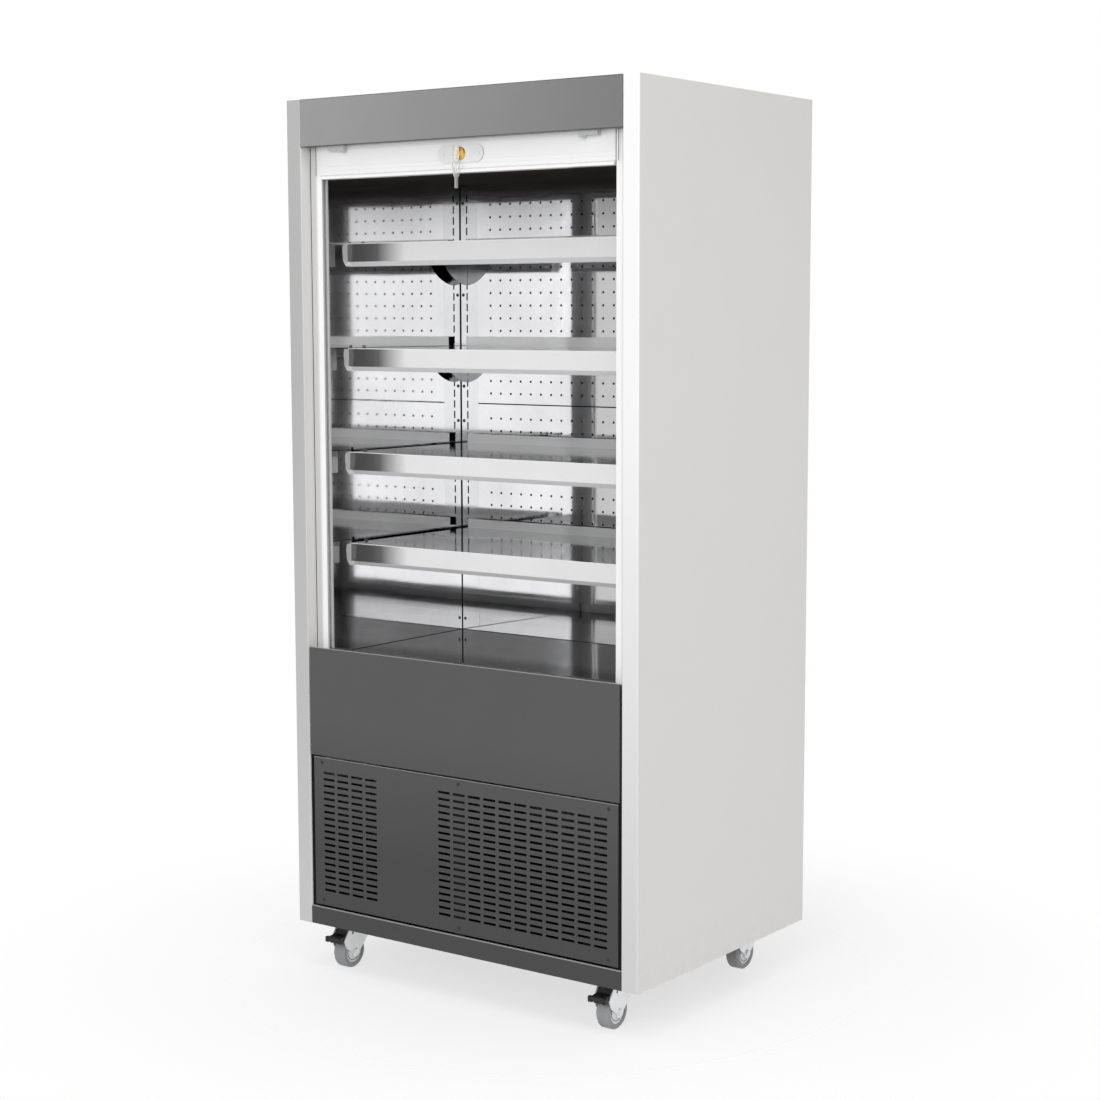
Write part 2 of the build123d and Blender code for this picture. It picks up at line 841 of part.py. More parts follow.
# Condenser shroud: a box behind the coil with the fan ring, and the motor on three arms
shroud_half_x = coil_half + coil_end_plate
motor_front_y = shroud_back_y + seat_gap
with BuildPart() as condenser_shroud:
    shroud_left = condenser_centre_x - shroud_half_x
    shroud_right = condenser_centre_x + shroud_half_x
    shroud_top = base_top + condenser_height
    block((shroud_left, condenser_back_y, base_top), (shroud_right, shroud_back_y, shroud_top))
    block(
        (shroud_left + shroud_sheet, condenser_back_y, base_top + shroud_sheet),
        (shroud_right - shroud_sheet, shroud_back_y - shroud_sheet, shroud_top - shroud_sheet),
        Mode.SUBTRACT,
    )
    rod(
        (condenser_centre_x, shroud_back_y, condenser_centre_z),
        (0, -1, 0),
        condenser_fan_radius + fan_tip_gap,
        shroud_depth,
        Mode.SUBTRACT,
    )
    motor_y = shroud_back_y + fan_hub_length
    rod((condenser_centre_x, motor_y, condenser_centre_z), (0, 1, 0), motor_radius, motor_length)
    for side in (-1, 1):
        arm_x = condenser_centre_x + side * (condenser_fan_radius + 2 * fan_tip_gap)
        block(
            (arm_x - motor_arm_width / 2, shroud_back_y, condenser_centre_z - motor_arm_width / 2),
            (arm_x + motor_arm_width / 2, motor_y + shroud_sheet, condenser_centre_z + motor_arm_width / 2),
        )
    block(
        (
            condenser_centre_x - condenser_fan_radius - 2 * fan_tip_gap,
            motor_y,
            condenser_centre_z - motor_arm_width / 2,
        ),
        (
            condenser_centre_x + condenser_fan_radius + 2 * fan_tip_gap,
            motor_y + shroud_sheet,
            condenser_centre_z + motor_arm_width / 2,
        ),
    )
    rod(
        (condenser_centre_x, motor_y + motor_length, condenser_centre_z),
        (0, -1, 0),
        fan_shaft_radius + running_gap,
        motor_length + fan_hub_length,
        Mode.SUBTRACT,
    )
save(condenser_shroud, "condenser_shroud")


# Axial fan turning about a line along Y: pitched blades round a hub, and its shaft into the motor
def axial_fan(centre, hub_back_y, centre_radius, hub_length, tip_radius, shaft_length, label):
    x, z = centre
    hub_front_y = hub_back_y - hub_length
    middle_y = (hub_front_y + hub_back_y) / 2
    with BuildPart() as fan:
        rod((x, hub_back_y, z), (0, -1, 0), centre_radius, hub_length)
        rod((x, hub_back_y, z), (0, 1, 0), fan_shaft_radius, shaft_length)
        for number in range(fan_blade_count):
            angle = math.radians(360.0 * number / fan_blade_count)
            radial = Vector(math.cos(angle), 0, math.sin(angle))
            normal = Vector(0, 1, 0).rotate(Axis((0, 0, 0), radial), fan_blade_pitch)
            blade_plane = Plane(origin=(x, middle_y, z), x_dir=radial, z_dir=normal)
            chord = hub_length / (2 * math.sin(math.radians(fan_blade_pitch)))
            with BuildSketch(blade_plane):
                with BuildLine():
                    Polyline(
                        (blade_root_share * centre_radius, -chord / 2),
                        (blade_shoulder_share * tip_radius, -blade_lead_share * chord),
                        (blade_tip_share * tip_radius, -blade_nose_share * chord),
                        (blade_tip_share * tip_radius, blade_tail_share * chord),
                        (blade_root_share * centre_radius, chord / 2),
                        close=True,
                    )
                make_face()
            extrude(amount=fan_blade_sheet / 2, both=True)
    save(fan, label)


axial_fan(
    (condenser_centre_x, condenser_centre_z),
    motor_y - seat_gap,
    fan_hub_radius,
    fan_hub_length,
    condenser_fan_radius,
    motor_length / 2,
    "condenser_fan",
)

# Hermetic compressor: a can welded round its middle, on a foot plate with two rubber bars
with BuildPart() as compressor:
    can_foot = base_top + compressor_foot_height
    can_top = can_foot + compressor_height
    seam_z = can_foot + compressor_seam_rise
    with BuildSketch(Plane(origin=(compressor_x, compressor_y, 0), x_dir=(1, 0, 0), z_dir=(0, -1, 0))):
        with BuildLine():
            Polyline(
                (0, can_foot),
                (compressor_base_radius, can_foot),
                (compressor_radius, can_foot + compressor_base_rise),
                (compressor_radius, seam_z),
                (compressor_radius - compressor_seam, seam_z),
                (compressor_radius - compressor_seam, can_top - compressor_crown_drop),
                (compressor_crown_radius, can_top),
                (0, can_top),
                close=True,
            )
        make_face()
    revolve(axis=Axis((compressor_x, compressor_y, 0), (0, 0, 1)))
    half_foot = compressor_foot / 2
    block(
        (compressor_x - half_foot, compressor_y - half_foot, can_foot - base_plate),
        (compressor_x + half_foot, compressor_y + half_foot, can_foot + base_plate),
    )
    for side in (-1, 1):
        bar_y = compressor_y + side * (half_foot - compressor_bar_inset)
        block(
            (compressor_x - half_foot, bar_y - compressor_bar / 2, base_top),
            (compressor_x + half_foot, bar_y + compressor_bar / 2, can_foot),
        )
save(compressor, "compressor")

# Plate in front of the evaporator with two fan rings and their motors
fan_z = evaporator_centre_z
with BuildPart() as evaporator_fan_plate:
    block(
        (-liner_x, fan_plate_y, tub_bottom + liner_sheet),
        (liner_x, fan_plate_y + fan_plate_sheet, deck_bottom),
    )
    for side in (-1, 1):
        fan_x = side * evaporator_fan_x
        rod(
            (fan_x, fan_plate_y, fan_z),
            (0, 1, 0),
            evaporator_fan_radius + fan_tip_gap,
            fan_plate_sheet,
            Mode.SUBTRACT,
        )
        small_motor_y = fan_plate_y + small_hub_length / 2 + seat_gap
        rod((fan_x, small_motor_y, fan_z), (0, 1, 0), small_motor_radius, small_motor_length)
        block(
            (fan_x - motor_arm_width / 2, small_motor_y, tub_bottom + liner_sheet),
            (fan_x + motor_arm_width / 2, small_motor_y + fan_plate_sheet, fan_z),
        )
        block(
            (fan_x - motor_arm_width / 2, fan_plate_y, tub_bottom + liner_sheet),
            (fan_x + motor_arm_width / 2, small_motor_y, tub_bottom + liner_sheet + fan_plate_sheet),
        )
        rod(
            (fan_x, small_motor_y, fan_z),
            (0, 1, 0),
            fan_shaft_radius + running_gap,
            small_motor_length,
            Mode.SUBTRACT,
        )
save(evaporator_fan_plate, "evaporator_fan_plate")

for side, label in ((-1, "evaporator_fan_left"), (1, "evaporator_fan_right")):
    axial_fan(
        (side * evaporator_fan_x, fan_z),
        small_motor_y - seat_gap,
        small_hub_radius,
        small_hub_length,
        evaporator_fan_radius,
        small_motor_length / 2,
        label,
    )

# Shutter guides: channels on the liners, slotted towards the opening, with a strike inside
with BuildPart() as shutter_guides:
    mirrored_block((guide_face_x, guide_front_y, landing_top), (liner_x, guide_back_y, guide_top))
    mirrored_block(
        (guide_face_x + guide_wall, guide_front_y + guide_wall, landing_top),
        (liner_x - guide_wall, guide_back_y - guide_wall, guide_top),
        Mode.SUBTRACT,
    )
    mirrored_block(
        (guide_face_x, curtain_y - guide_slot / 2, landing_top),
        (guide_face_x + guide_wall, curtain_y + guide_slot / 2, guide_top),
        Mode.SUBTRACT,
    )
    strike_x = liner_x - guide_wall - strike_inset
    mirrored_block(
        (strike_x, guide_front_y + guide_wall, strike_z - strike_height / 2),
        (strike_x + strike_plate, guide_back_y - guide_wall, strike_z + strike_height / 2),
    )
    mirrored_block(
        (strike_x + strike_plate, guide_front_y + guide_wall, strike_z + strike_height / 2 - strike_plate),
        (liner_x - guide_wall, guide_back_y - guide_wall, strike_z + strike_height / 2),
    )
    for side in (-1, 1):
        start_x = side * strike_x
        rod(
            (start_x, curtain_y, strike_z),
            (side, 0, 0),
            bolt_radius + seat_gap,
            strike_plate,
            Mode.SUBTRACT,
        )
save(shutter_guides, "shutter_guides")

# Cradles: two plates hung from the roof that carry the roll's shaft
cradle_x = guide_face_x + 2 * roll_end_gap
with BuildPart() as shutter_cradles:
    mirrored_block(
        (cradle_x, roll_centre_y - cradle_width / 2, roll_centre_z - cradle_drop),
        (cradle_x + cradle_plate, roll_centre_y + cradle_width / 2, roof_bottom),
    )
    mirrored_block(
        (cradle_x + cradle_plate, roll_centre_y - cradle_width / 2, roof_bottom - cradle_plate),
        (liner_x, roll_centre_y + cradle_width / 2, roof_bottom),
    )
    for side in (-1, 1):
        rod(
            (side * cradle_x, roll_centre_y, roll_centre_z),
            (side, 0, 0),
            shaft_radius + running_gap,
            cradle_plate,
            Mode.SUBTRACT,
        )
save(shutter_cradles, "shutter_cradles")

# Rubber stops under the fascia's fold, which the raised rail would meet
with BuildPart() as shutter_stops:
    stop_y = front_y + fascia_return
    stop_nose_x = stop_x - stop_length / 2 + stop_nose_length
    for side in (-1, 1):
        with BuildSketch(Plane.XZ.offset(-(stop_y - stop_depth))):
            with BuildLine():
                Polyline(
                    (side * (stop_x - stop_length / 2), fascia_bottom),
                    (side * (stop_x + stop_length / 2), fascia_bottom),
                    (side * (stop_x + stop_length / 2), fascia_bottom - stop_step_height),
                    (side * (stop_nose_x + stop_slope_length), fascia_bottom - stop_step_height),
                    (side * stop_nose_x, fascia_bottom - stop_height),
                    (side * (stop_x - stop_length / 2), fascia_bottom - stop_height),
                    close=True,
                )
            make_face()
        extrude(amount=-stop_depth)
save(shutter_stops, "shutter_stops")

# Bottom rail of the shutter: a hollow section with a pull lip, shallow ribs and end tongues
with BuildPart() as shutter_rail:
    with BuildSketch(Plane.YZ.offset(-rail_half_length)):
        with BuildLine():
            back_face_y = curtain_y + rail_depth / 2
            lip_y = rail_front_y - rail_lip_reach
            lip_top = rail_bottom + rail_lip_height
            Polyline(
                (back_face_y, rail_bottom),
                (lip_y, rail_bottom),
                (lip_y, lip_top - rail_bevel),
                (lip_y + rail_bevel, lip_top),
                (rail_front_y, lip_top),
                (rail_front_y, rail_top - rail_bevel),
                (rail_front_y + rail_bevel, rail_top),
                (back_face_y, rail_top),
                close=True,
            )
        make_face()
        for rib_z in (lip_top + rail_rib_pitch, lip_top + 2 * rail_rib_pitch):
            with Locations((rail_front_y, rib_z)):
                Rectangle(2 * rail_rib_depth, rail_rib_depth, mode=Mode.SUBTRACT)
    extrude(amount=2 * rail_half_length)
    cavity_x = rail_half_length - rail_end_wall
    block(
        (-cavity_x, rail_front_y + rail_wall, rail_bottom + rail_lip_height + rail_wall),
        (cavity_x, curtain_y + rail_depth / 2 - rail_wall, rail_top - rail_wall),
        Mode.SUBTRACT,
    )
    tongue_half = guide_slot / 2 - tongue_gap
    for low_z, high_z in (
        (rail_bottom + tongue_foot_rise, lock_z - bolt_radius - tongue_bolt_gap),
        (lock_z + bolt_radius + tongue_bolt_gap, rail_top - tongue_top_gap),
    ):
        mirrored_block(
            (rail_half_length, curtain_y - tongue_half, low_z),
            (rail_half_length + tongue_reach, curtain_y + tongue_half, high_z),
        )
    for side in (-1, 1):
        rod(
            (side * cavity_x, curtain_y, lock_z),
            (side, 0, 0),
            bolt_radius + running_gap,
            rail_end_wall,
            Mode.SUBTRACT,
        )
        with Locations((side * rail_screw_x, rail_front_y, rail_bottom + rail_screw_z)):
            Box(rail_button, 2 * rail_button_proud, rail_button)
    rod(
        (0, rail_front_y, lock_z),
        (0, 1, 0),
        plug_radius + running_gap,
        rail_wall,
        Mode.SUBTRACT,
    )
save(shutter_rail, "shutter_rail")

# Lock plate: a pill-shaped cover on the front of the rail
with BuildPart() as lock_plate:
    with BuildSketch(Plane.XZ.offset(-rail_front_y)):
        with Locations((0, lock_z)):
            SlotOverall(lock_plate_length, lock_plate_height)
            Circle(plug_radius + running_gap, mode=Mode.SUBTRACT)
    extrude(amount=lock_plate_thickness)
    for side in (-1, 1):
        rod(
            (side * lock_plate_screw_x, rail_front_y - lock_plate_thickness, lock_z),
            (0, -1, 0),
            screw_head_radius,
            screw_head_height / 2,
        )
save(lock_plate, "lock_plate")

# Lock plug with its keyway
plug_front_y = rail_front_y - plug_reach
with BuildPart() as lock_plug:
    rod((0, plug_front_y, lock_z), (0, 1, 0), plug_radius, plug_reach + plug_depth)
    chamfer(lock_plug.edges().filter_by(GeomType.CIRCLE).group_by(Axis.Y)[0], plug_chamfer)
    block(
        (-keyway_width / 2, plug_front_y, lock_z - keyway_height / 2),
        (keyway_width / 2, plug_front_y + key_blade + seat_gap, lock_z + keyway_height / 2),
        Mode.SUBTRACT,
    )
save(lock_plug, "lock_plug")

# Key in the plug: blade, stem and an upright bow with a hole at its foot
key_bow_y = plug_front_y - key_stem - key_bow_radius
bow_hole_z = lock_z - key_bow_length / 2 + 2 * key_bow_hole
ring_drop = math.sqrt(key_bow_hole**2 - (ring_wire / 2) ** 2) - ring_wire / 2 - ring_gap
with BuildPart() as key:
    with BuildSketch(Plane.YZ.offset(-key_thickness / 2)):
        with Locations((key_bow_y, lock_z)):
            SlotOverall(key_bow_length, 2 * key_bow_radius, rotation=90)
        with Locations((plug_front_y - (key_stem + key_bow_radius - key_blade) / 2, lock_z)):
            Rectangle(key_stem + key_bow_radius + key_blade, keyway_height - 2 * seat_gap)
        with Locations((key_bow_y, bow_hole_z)):
            Circle(key_bow_hole, mode=Mode.SUBTRACT)
    extrude(amount=key_thickness)
save(key, "key")

# Split ring through the bow, with the spare key hanging on it
with BuildPart() as key_ring:
    ring_centre_z = bow_hole_z - ring_drop - ring_radius
    with BuildSketch(Plane.XY.offset(ring_centre_z)):
        with Locations((ring_radius, key_bow_y)):
            Rectangle(ring_wire, ring_wire)
    revolve(axis=Axis((0, key_bow_y, ring_centre_z), (0, 1, 0)))
    spare_hole_z = ring_centre_z - ring_radius - ring_drop
    spare_z = spare_hole_z - spare_bow_length / 2 + 2 * key_bow_hole
    spare_foot_z = spare_z - spare_bow_length / 2 - spare_blade
    with BuildSketch(Plane.YZ.offset(-key_thickness / 2)):
        with Locations((key_bow_y, spare_z)):
            SlotOverall(spare_bow_length, 2 * key_bow_radius, rotation=90)
        with Locations((key_bow_y, (spare_z + spare_foot_z) / 2)):
            Rectangle(keyway_height - 2 * seat_gap, spare_z - spare_foot_z)
        with Locations((key_bow_y, spare_hole_z)):
            Circle(key_bow_hole, mode=Mode.SUBTRACT)
    extrude(amount=key_thickness)
save(key_ring, "key_ring")

# Bolts that the lock throws out of both ends of the rail
for side, label in ((-1, "lock_bolt_left"), (1, "lock_bolt_right")):
    with BuildPart() as lock_bolt:
        rod((side * bolt_inner_x, curtain_y, lock_z), (side, 0, 0), bolt_radius, bolt_tip_x - bolt_inner_x)
    save(lock_bolt, label)

# Curtain between the rail and the roll; it lengthens as the rail comes down
with BuildPart() as shutter_curtain:
    curtain_half = rail_half_length + tongue_reach - curtain_end_gap
    block(
        (-curtain_half, curtain_y - slat_thickness / 2, rail_top),
        (curtain_half, curtain_y + slat_thickness / 2, roll_centre_z),
    )
save(shutter_curtain, "shutter_curtain")

# Rolled slats, many sided because each slat stays flat, on their shaft
with BuildPart() as shutter_roll:
    roll_half = guide_face_x
    with BuildSketch(Plane.YZ.offset(-roll_half)):
        with Locations((roll_centre_y, roll_centre_z)):
            RegularPolygon(roll_radius - slat_thickness - seat_gap, roll_sides)
    extrude(amount=2 * roll_half)
    shaft_half = cradle_x + cradle_plate + shaft_overhang
    rod((-shaft_half, roll_centre_y, roll_centre_z), (1, 0, 0), shaft_radius, 2 * shaft_half)
save(shutter_roll, "shutter_roll")

caster_spots = {
    "front_left": (-caster_x, -caster_y),
    "front_right": (caster_x, -caster_y),
    "rear_left": (-caster_x, caster_y),
    "rear_right": (caster_x, caster_y),
}

# Top plates and ball races of the four casters
with BuildPart() as caster_plates:
    for x, y in caster_spots.values():
        half_plate = caster_plate_size / 2
        block(
            (x - half_plate, y - half_plate, caster_plate_bottom),
            (x + half_plate, y + half_plate, body_clearance),
        )
        rod((x, y, caster_plate_bottom), (0, 0, -1), race_radius, race_height)
        rod(
            (x, y, body_clearance),
            (0, 0, -1),
            kingpin_radius + running_gap,
            body_clearance - race_bottom,
            Mode.SUBTRACT,
        )
save(caster_plates, "caster_plates")


# Fork of one caster: crown, kingpin, two tapering legs and the axle bolt
def caster_fork(x, y, braked, label):
    axle_y = y - caster_trail
    with BuildPart() as fork:
        rod((x, y, crown_bottom), (0, 0, 1), crown_radius, crown_height)
        rod((x, y, crown_top), (0, 0, 1), kingpin_radius, race_height + seat_gap + kingpin_length)
        for side in (-1, 1):
            leg_x = sorted((x + side * leg_inner, x + side * leg_outer))
            with BuildSketch(Plane.YZ.offset(leg_x[0])):
                with BuildLine():
                    waist_z = wheel_radius + leg_waist_height
                    ear_z = wheel_radius + leg_ear_height
                    foot_front = (axle_y - leg_foot_radius, wheel_radius)
                    foot_rear = (axle_y + leg_foot_radius, wheel_radius)
                    Polyline(
                        foot_front,
                        (axle_y - leg_front_waist, waist_z),
                        (axle_y - leg_front_reach, ear_z),
                        (axle_y - leg_front_shoulder, crown_top),
                        (y + web_rear_reach, crown_top),
                        (axle_y + leg_rear_reach, ear_z),
                        (axle_y + leg_rear_waist, waist_z),
                        foot_rear,
                    )
                    ThreePointArc(foot_rear, (axle_y, wheel_radius - leg_foot_radius), foot_front)
                make_face()
            extrude(amount=leg_sheet)
        block(
            (x - leg_inner, axle_y - web_front_reach, crown_bottom),
            (x + leg_inner, y + web_rear_reach, crown_top),
        )
        head_x = leg_outer + axle_head_height
        rod((x - head_x, axle_y, wheel_radius), (1, 0, 0), axle_radius, 2 * head_x)
        for side in (-1, 1):
            nut_plane = Plane.YZ.offset(x + side * leg_outer)
            with BuildSketch(nut_plane):
                with Locations((axle_y, wheel_radius)):
                    RegularPolygon(axle_head_radius, 6)
            extrude(amount=side * axle_head_height)
        if braked:
            pin_y = axle_y - pedal_pin_forward
            rod(
                (x - leg_outer, pin_y, pedal_pin_z),
                (1, 0, 0),
                pedal_pin_radius + running_gap,
                2 * leg_outer,
                Mode.SUBTRACT,
            )
    save(fork, label)


# Tyre of one caster: a broad tread with chamfered shoulders
def caster_tyre(x, y, label):
    axle_y = y - caster_trail
    half_tread = wheel_width / 2
    with BuildPart() as tyre:
        with BuildSketch(Plane(origin=(x, axle_y, wheel_radius), x_dir=(1, 0, 0), z_dir=(0, -1, 0))):
            with BuildLine():
                Polyline(
                    (-half_tread, hub_radius),
                    (-half_tread, wheel_radius - wheel_chamfer),
                    (-half_tread + wheel_chamfer, wheel_radius),
                    (half_tread - wheel_chamfer, wheel_radius),
                    (half_tread, wheel_radius - wheel_chamfer),
                    (half_tread, hub_radius),
                    close=True,
                )
            make_face()
        revolve(axis=Axis((x, axle_y, wheel_radius), (1, 0, 0)))
    save(tyre, label)


# Hub of one caster: a disc with a recess and a boss on each face
def caster_hub(x, y, label):
    axle_y = y - caster_trail
    half_hub = wheel_width / 2
    bore = axle_radius + running_gap
    with BuildPart() as hub:
        with BuildSketch(Plane(origin=(x, axle_y, wheel_radius), x_dir=(1, 0, 0), z_dir=(0, -1, 0))):
            with BuildLine():
                Polyline(
                    (-half_hub - leg_gap + seat_gap, bore),
                    (-half_hub - leg_gap + seat_gap, hub_boss_radius),
                    (-half_hub + hub_recess, hub_boss_radius + hub_recess),
                    (-half_hub + hub_recess, hub_radius),
                    (half_hub - hub_recess, hub_radius),
                    (half_hub - hub_recess, hub_boss_radius + hub_recess),
                    (half_hub + leg_gap - seat_gap, hub_boss_radius),
                    (half_hub + leg_gap - seat_gap, bore),
                    close=True,
                )
            make_face()
        revolve(axis=Axis((x, axle_y, wheel_radius), (1, 0, 0)))
    save(hub, label)


# Brake pedal of a front caster: a lever between the fork's legs, pinned to them, with a wide tip
# whose underside is notched for grip
def brake_pedal(x, y, label):
    axle_y = y - caster_trail
    pin_y = axle_y - pedal_pin_forward
    tip_y = front_y + pedal_tip_gap
    tip_back_y = tip_y + pedal_tip_depth
    with BuildPart() as pedal:
        with BuildSketch(Plane.YZ.offset(x - pedal_width / 2)):
            with BuildLine():
                Polyline(
                    (tip_back_y, pedal_tip_top),
                    (axle_y - pedal_neck_y, pedal_neck_z),
                    (pin_y - pedal_top_length, pedal_top),
                    (pin_y + pedal_heel, pedal_top),
                    (pin_y + pedal_heel, pedal_heel_foot),
                    (axle_y - pedal_belly_y, pedal_belly_z),
                    (tip_back_y, pedal_tip_foot),
                    close=True,
                )
            make_face()
        extrude(amount=pedal_width)
        block(
            (x - pedal_tip_width / 2, tip_y, pedal_tip_foot),
            (x + pedal_tip_width / 2, tip_back_y, pedal_tip_top),
        )
        with Locations((x, tip_y, pedal_tip_foot)):
            with GridLocations(pedal_grip_pitch, 1, pedal_grip_count, 1):
                Box(pedal_grip_width, 2 * pedal_tip_depth, 2 * pedal_grip_depth, mode=Mode.SUBTRACT)
        rod((x - leg_outer, pin_y, pedal_pin_z), (1, 0, 0), pedal_pin_radius, 2 * leg_outer)
    save(pedal, label)


for place, (x, y) in caster_spots.items():
    is_front = place.startswith("front")
    caster_fork(x, y, is_front, f"fork_{place}")
    caster_tyre(x, y, f"tyre_{place}")
    caster_hub(x, y, f"hub_{place}")
    if is_front:
        brake_pedal(x, y, f"brake_pedal_{place}")
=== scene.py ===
import json
import math

import bmesh
import bpy
from mathutils import Euler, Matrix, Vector


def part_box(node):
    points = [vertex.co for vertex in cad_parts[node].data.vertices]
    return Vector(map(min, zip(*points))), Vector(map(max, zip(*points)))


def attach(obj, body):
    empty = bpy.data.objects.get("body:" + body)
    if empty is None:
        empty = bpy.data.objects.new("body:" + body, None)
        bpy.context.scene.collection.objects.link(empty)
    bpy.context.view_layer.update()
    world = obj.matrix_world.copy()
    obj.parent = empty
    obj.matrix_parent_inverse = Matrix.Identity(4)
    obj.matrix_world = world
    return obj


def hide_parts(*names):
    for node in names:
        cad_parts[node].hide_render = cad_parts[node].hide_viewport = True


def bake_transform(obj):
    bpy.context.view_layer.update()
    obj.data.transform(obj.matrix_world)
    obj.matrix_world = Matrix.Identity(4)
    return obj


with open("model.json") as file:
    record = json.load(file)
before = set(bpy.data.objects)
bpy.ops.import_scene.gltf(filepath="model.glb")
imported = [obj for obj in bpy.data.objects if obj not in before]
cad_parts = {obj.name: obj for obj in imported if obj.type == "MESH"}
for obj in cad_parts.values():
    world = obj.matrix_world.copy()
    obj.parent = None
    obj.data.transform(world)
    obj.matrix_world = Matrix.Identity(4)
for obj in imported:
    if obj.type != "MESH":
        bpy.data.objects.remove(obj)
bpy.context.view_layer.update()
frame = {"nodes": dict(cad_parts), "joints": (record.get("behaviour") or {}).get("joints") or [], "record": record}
nodes = frame["nodes"]

# Camera at the photograph's viewpoint
camera_heading = 36.07
camera_dip = 6.80
camera_roll = -0.076
camera_data = bpy.data.cameras.new("camera")
camera = bpy.data.objects.new("camera", camera_data)
bpy.context.scene.collection.objects.link(camera)
camera.location = (2.855, -3.8724, 1.4932)
turn = Euler((0, 0, math.radians(camera_heading))).to_matrix()
tilt = Euler((math.radians(90 - camera_dip), 0, 0)).to_matrix()
roll = Euler((0, 0, math.radians(camera_roll))).to_matrix()
camera.rotation_euler = (turn @ tilt @ roll).to_euler()
camera_data.sensor_width = 36.0
camera_data.lens = 70.1
camera_data.shift_x = -0.01124
camera_data.shift_y = 0.01724
camera_data.clip_end = 60.0
bpy.context.scene.camera = camera
bpy.context.scene.view_settings.view_transform = "Standard"


def linear(level):
    c = level / 255.0
    return c / 12.92 if c <= 0.04045 else ((c + 0.055) / 1.055) ** 2.4


def tone(r, g=None, b=None):
    g = r if g is None else g
    b = r if b is None else b
    return (linear(r), linear(g), linear(b), 1.0)


def scaled(colour, share):
    return tuple(min(1.0, c * share) for c in colour[:3]) + (1.0,)


# A short way to add, set and join the nodes of one tree
class Nodes:
    def __init__(self, tree):
        self.tree = tree

    def feed(self, socket, value):
        if isinstance(value, bpy.types.NodeSocket):
            self.tree.links.new(value, socket)
        else:
            socket.default_value = value

    def add(self, kind, inputs=None, **settings):
        made = self.tree.nodes.new(kind)
        for key, value in settings.items():
            setattr(made, key, value)
        for key, value in (inputs or {}).items():
            self.feed(made.inputs[key], value)
        return made

    def spread(self, source, low, high, to_low=0.0, to_high=1.0, kind="LINEAR"):
        ends = {"From Min": low, "From Max": high, "To Min": to_low, "To Max": to_high, "Value": source}
        return self.add("ShaderNodeMapRange", ends, interpolation_type=kind).outputs["Result"]

    def maths(self, operation, a, b=0.0):
        return self.add("ShaderNodeMath", {0: a, 1: b}, operation=operation).outputs["Value"]

    def mix(self, amount, a, b):
        ends = {"Factor": amount, "A": a, "B": b}
        return self.add("ShaderNodeMix", ends, data_type="RGBA").outputs["Result"]

    def noise(self, place, scale, detail, roughness=0.5):
        settings = {"Vector": place, "Scale": scale, "Detail": detail, "Roughness": roughness}
        return self.add("ShaderNodeTexNoise", settings).outputs["Fac"]

    def axes(self, vector):
        return self.add("ShaderNodeSeparateXYZ", {"Vector": vector}).outputs


# Where painted light or shade lies: what is measured, along which axis, where it starts and where it is full.
# With a middle, the distance to that middle is measured.
def zone(measured, axis, start, full, middle=None):
    return (measured, axis, start, full, middle)


# Thin lines along a height, for the painted shade and painted highlight lines along edges
def edge_line(height):
    return zone("Object", "Z", 0.0016, 0.0006, middle=height)


# Zones for the painted light and shade: by the way a face points, and by place
rear_faces = zone("Normal", "Y", 0.3, 0.7)
front_faces = zone("Normal", "Y", -0.5, -0.8)
flat_front_faces = zone("Normal", "Y", -0.6, -0.9)
other_than_front = zone("Normal", "Y", -0.9, -0.6)
lower_faces = zone("Normal", "Z", -0.25, -0.45)
low_part = zone("Object", "Z", 0.58, 0.28)
upper_part = zone("Object", "Z", 0.2, 1.3)
right_part = zone("Object", "X", -0.43, 0.43)
left_end = zone("Object", "X", -0.23, -0.31)
near_sill = zone("Object", "Y", -0.06, -0.15)
outer_web = zone("Object", "X", 0.407, 0.414, middle=0.0)


# Painted light or shade is a tone, or a share of the look's own base tone, where all its zones meet
def painted_light(colour, *zones, above=None, metallic=None):
    return {"colour": colour, "zones": zones, "above": above, "metallic": metallic}


# Patterns per metre, and how deep or strong they are
sheet_scale = 5.0
spangle_scale = 90.0
speck_scale = 38.0
swell_scale = 3.2
grain_depth = 0.0002
spangle_share = 0.55
dust_tone = tone(126, 120, 110)
dust_rough = 0.4
coat_rough = 0.12
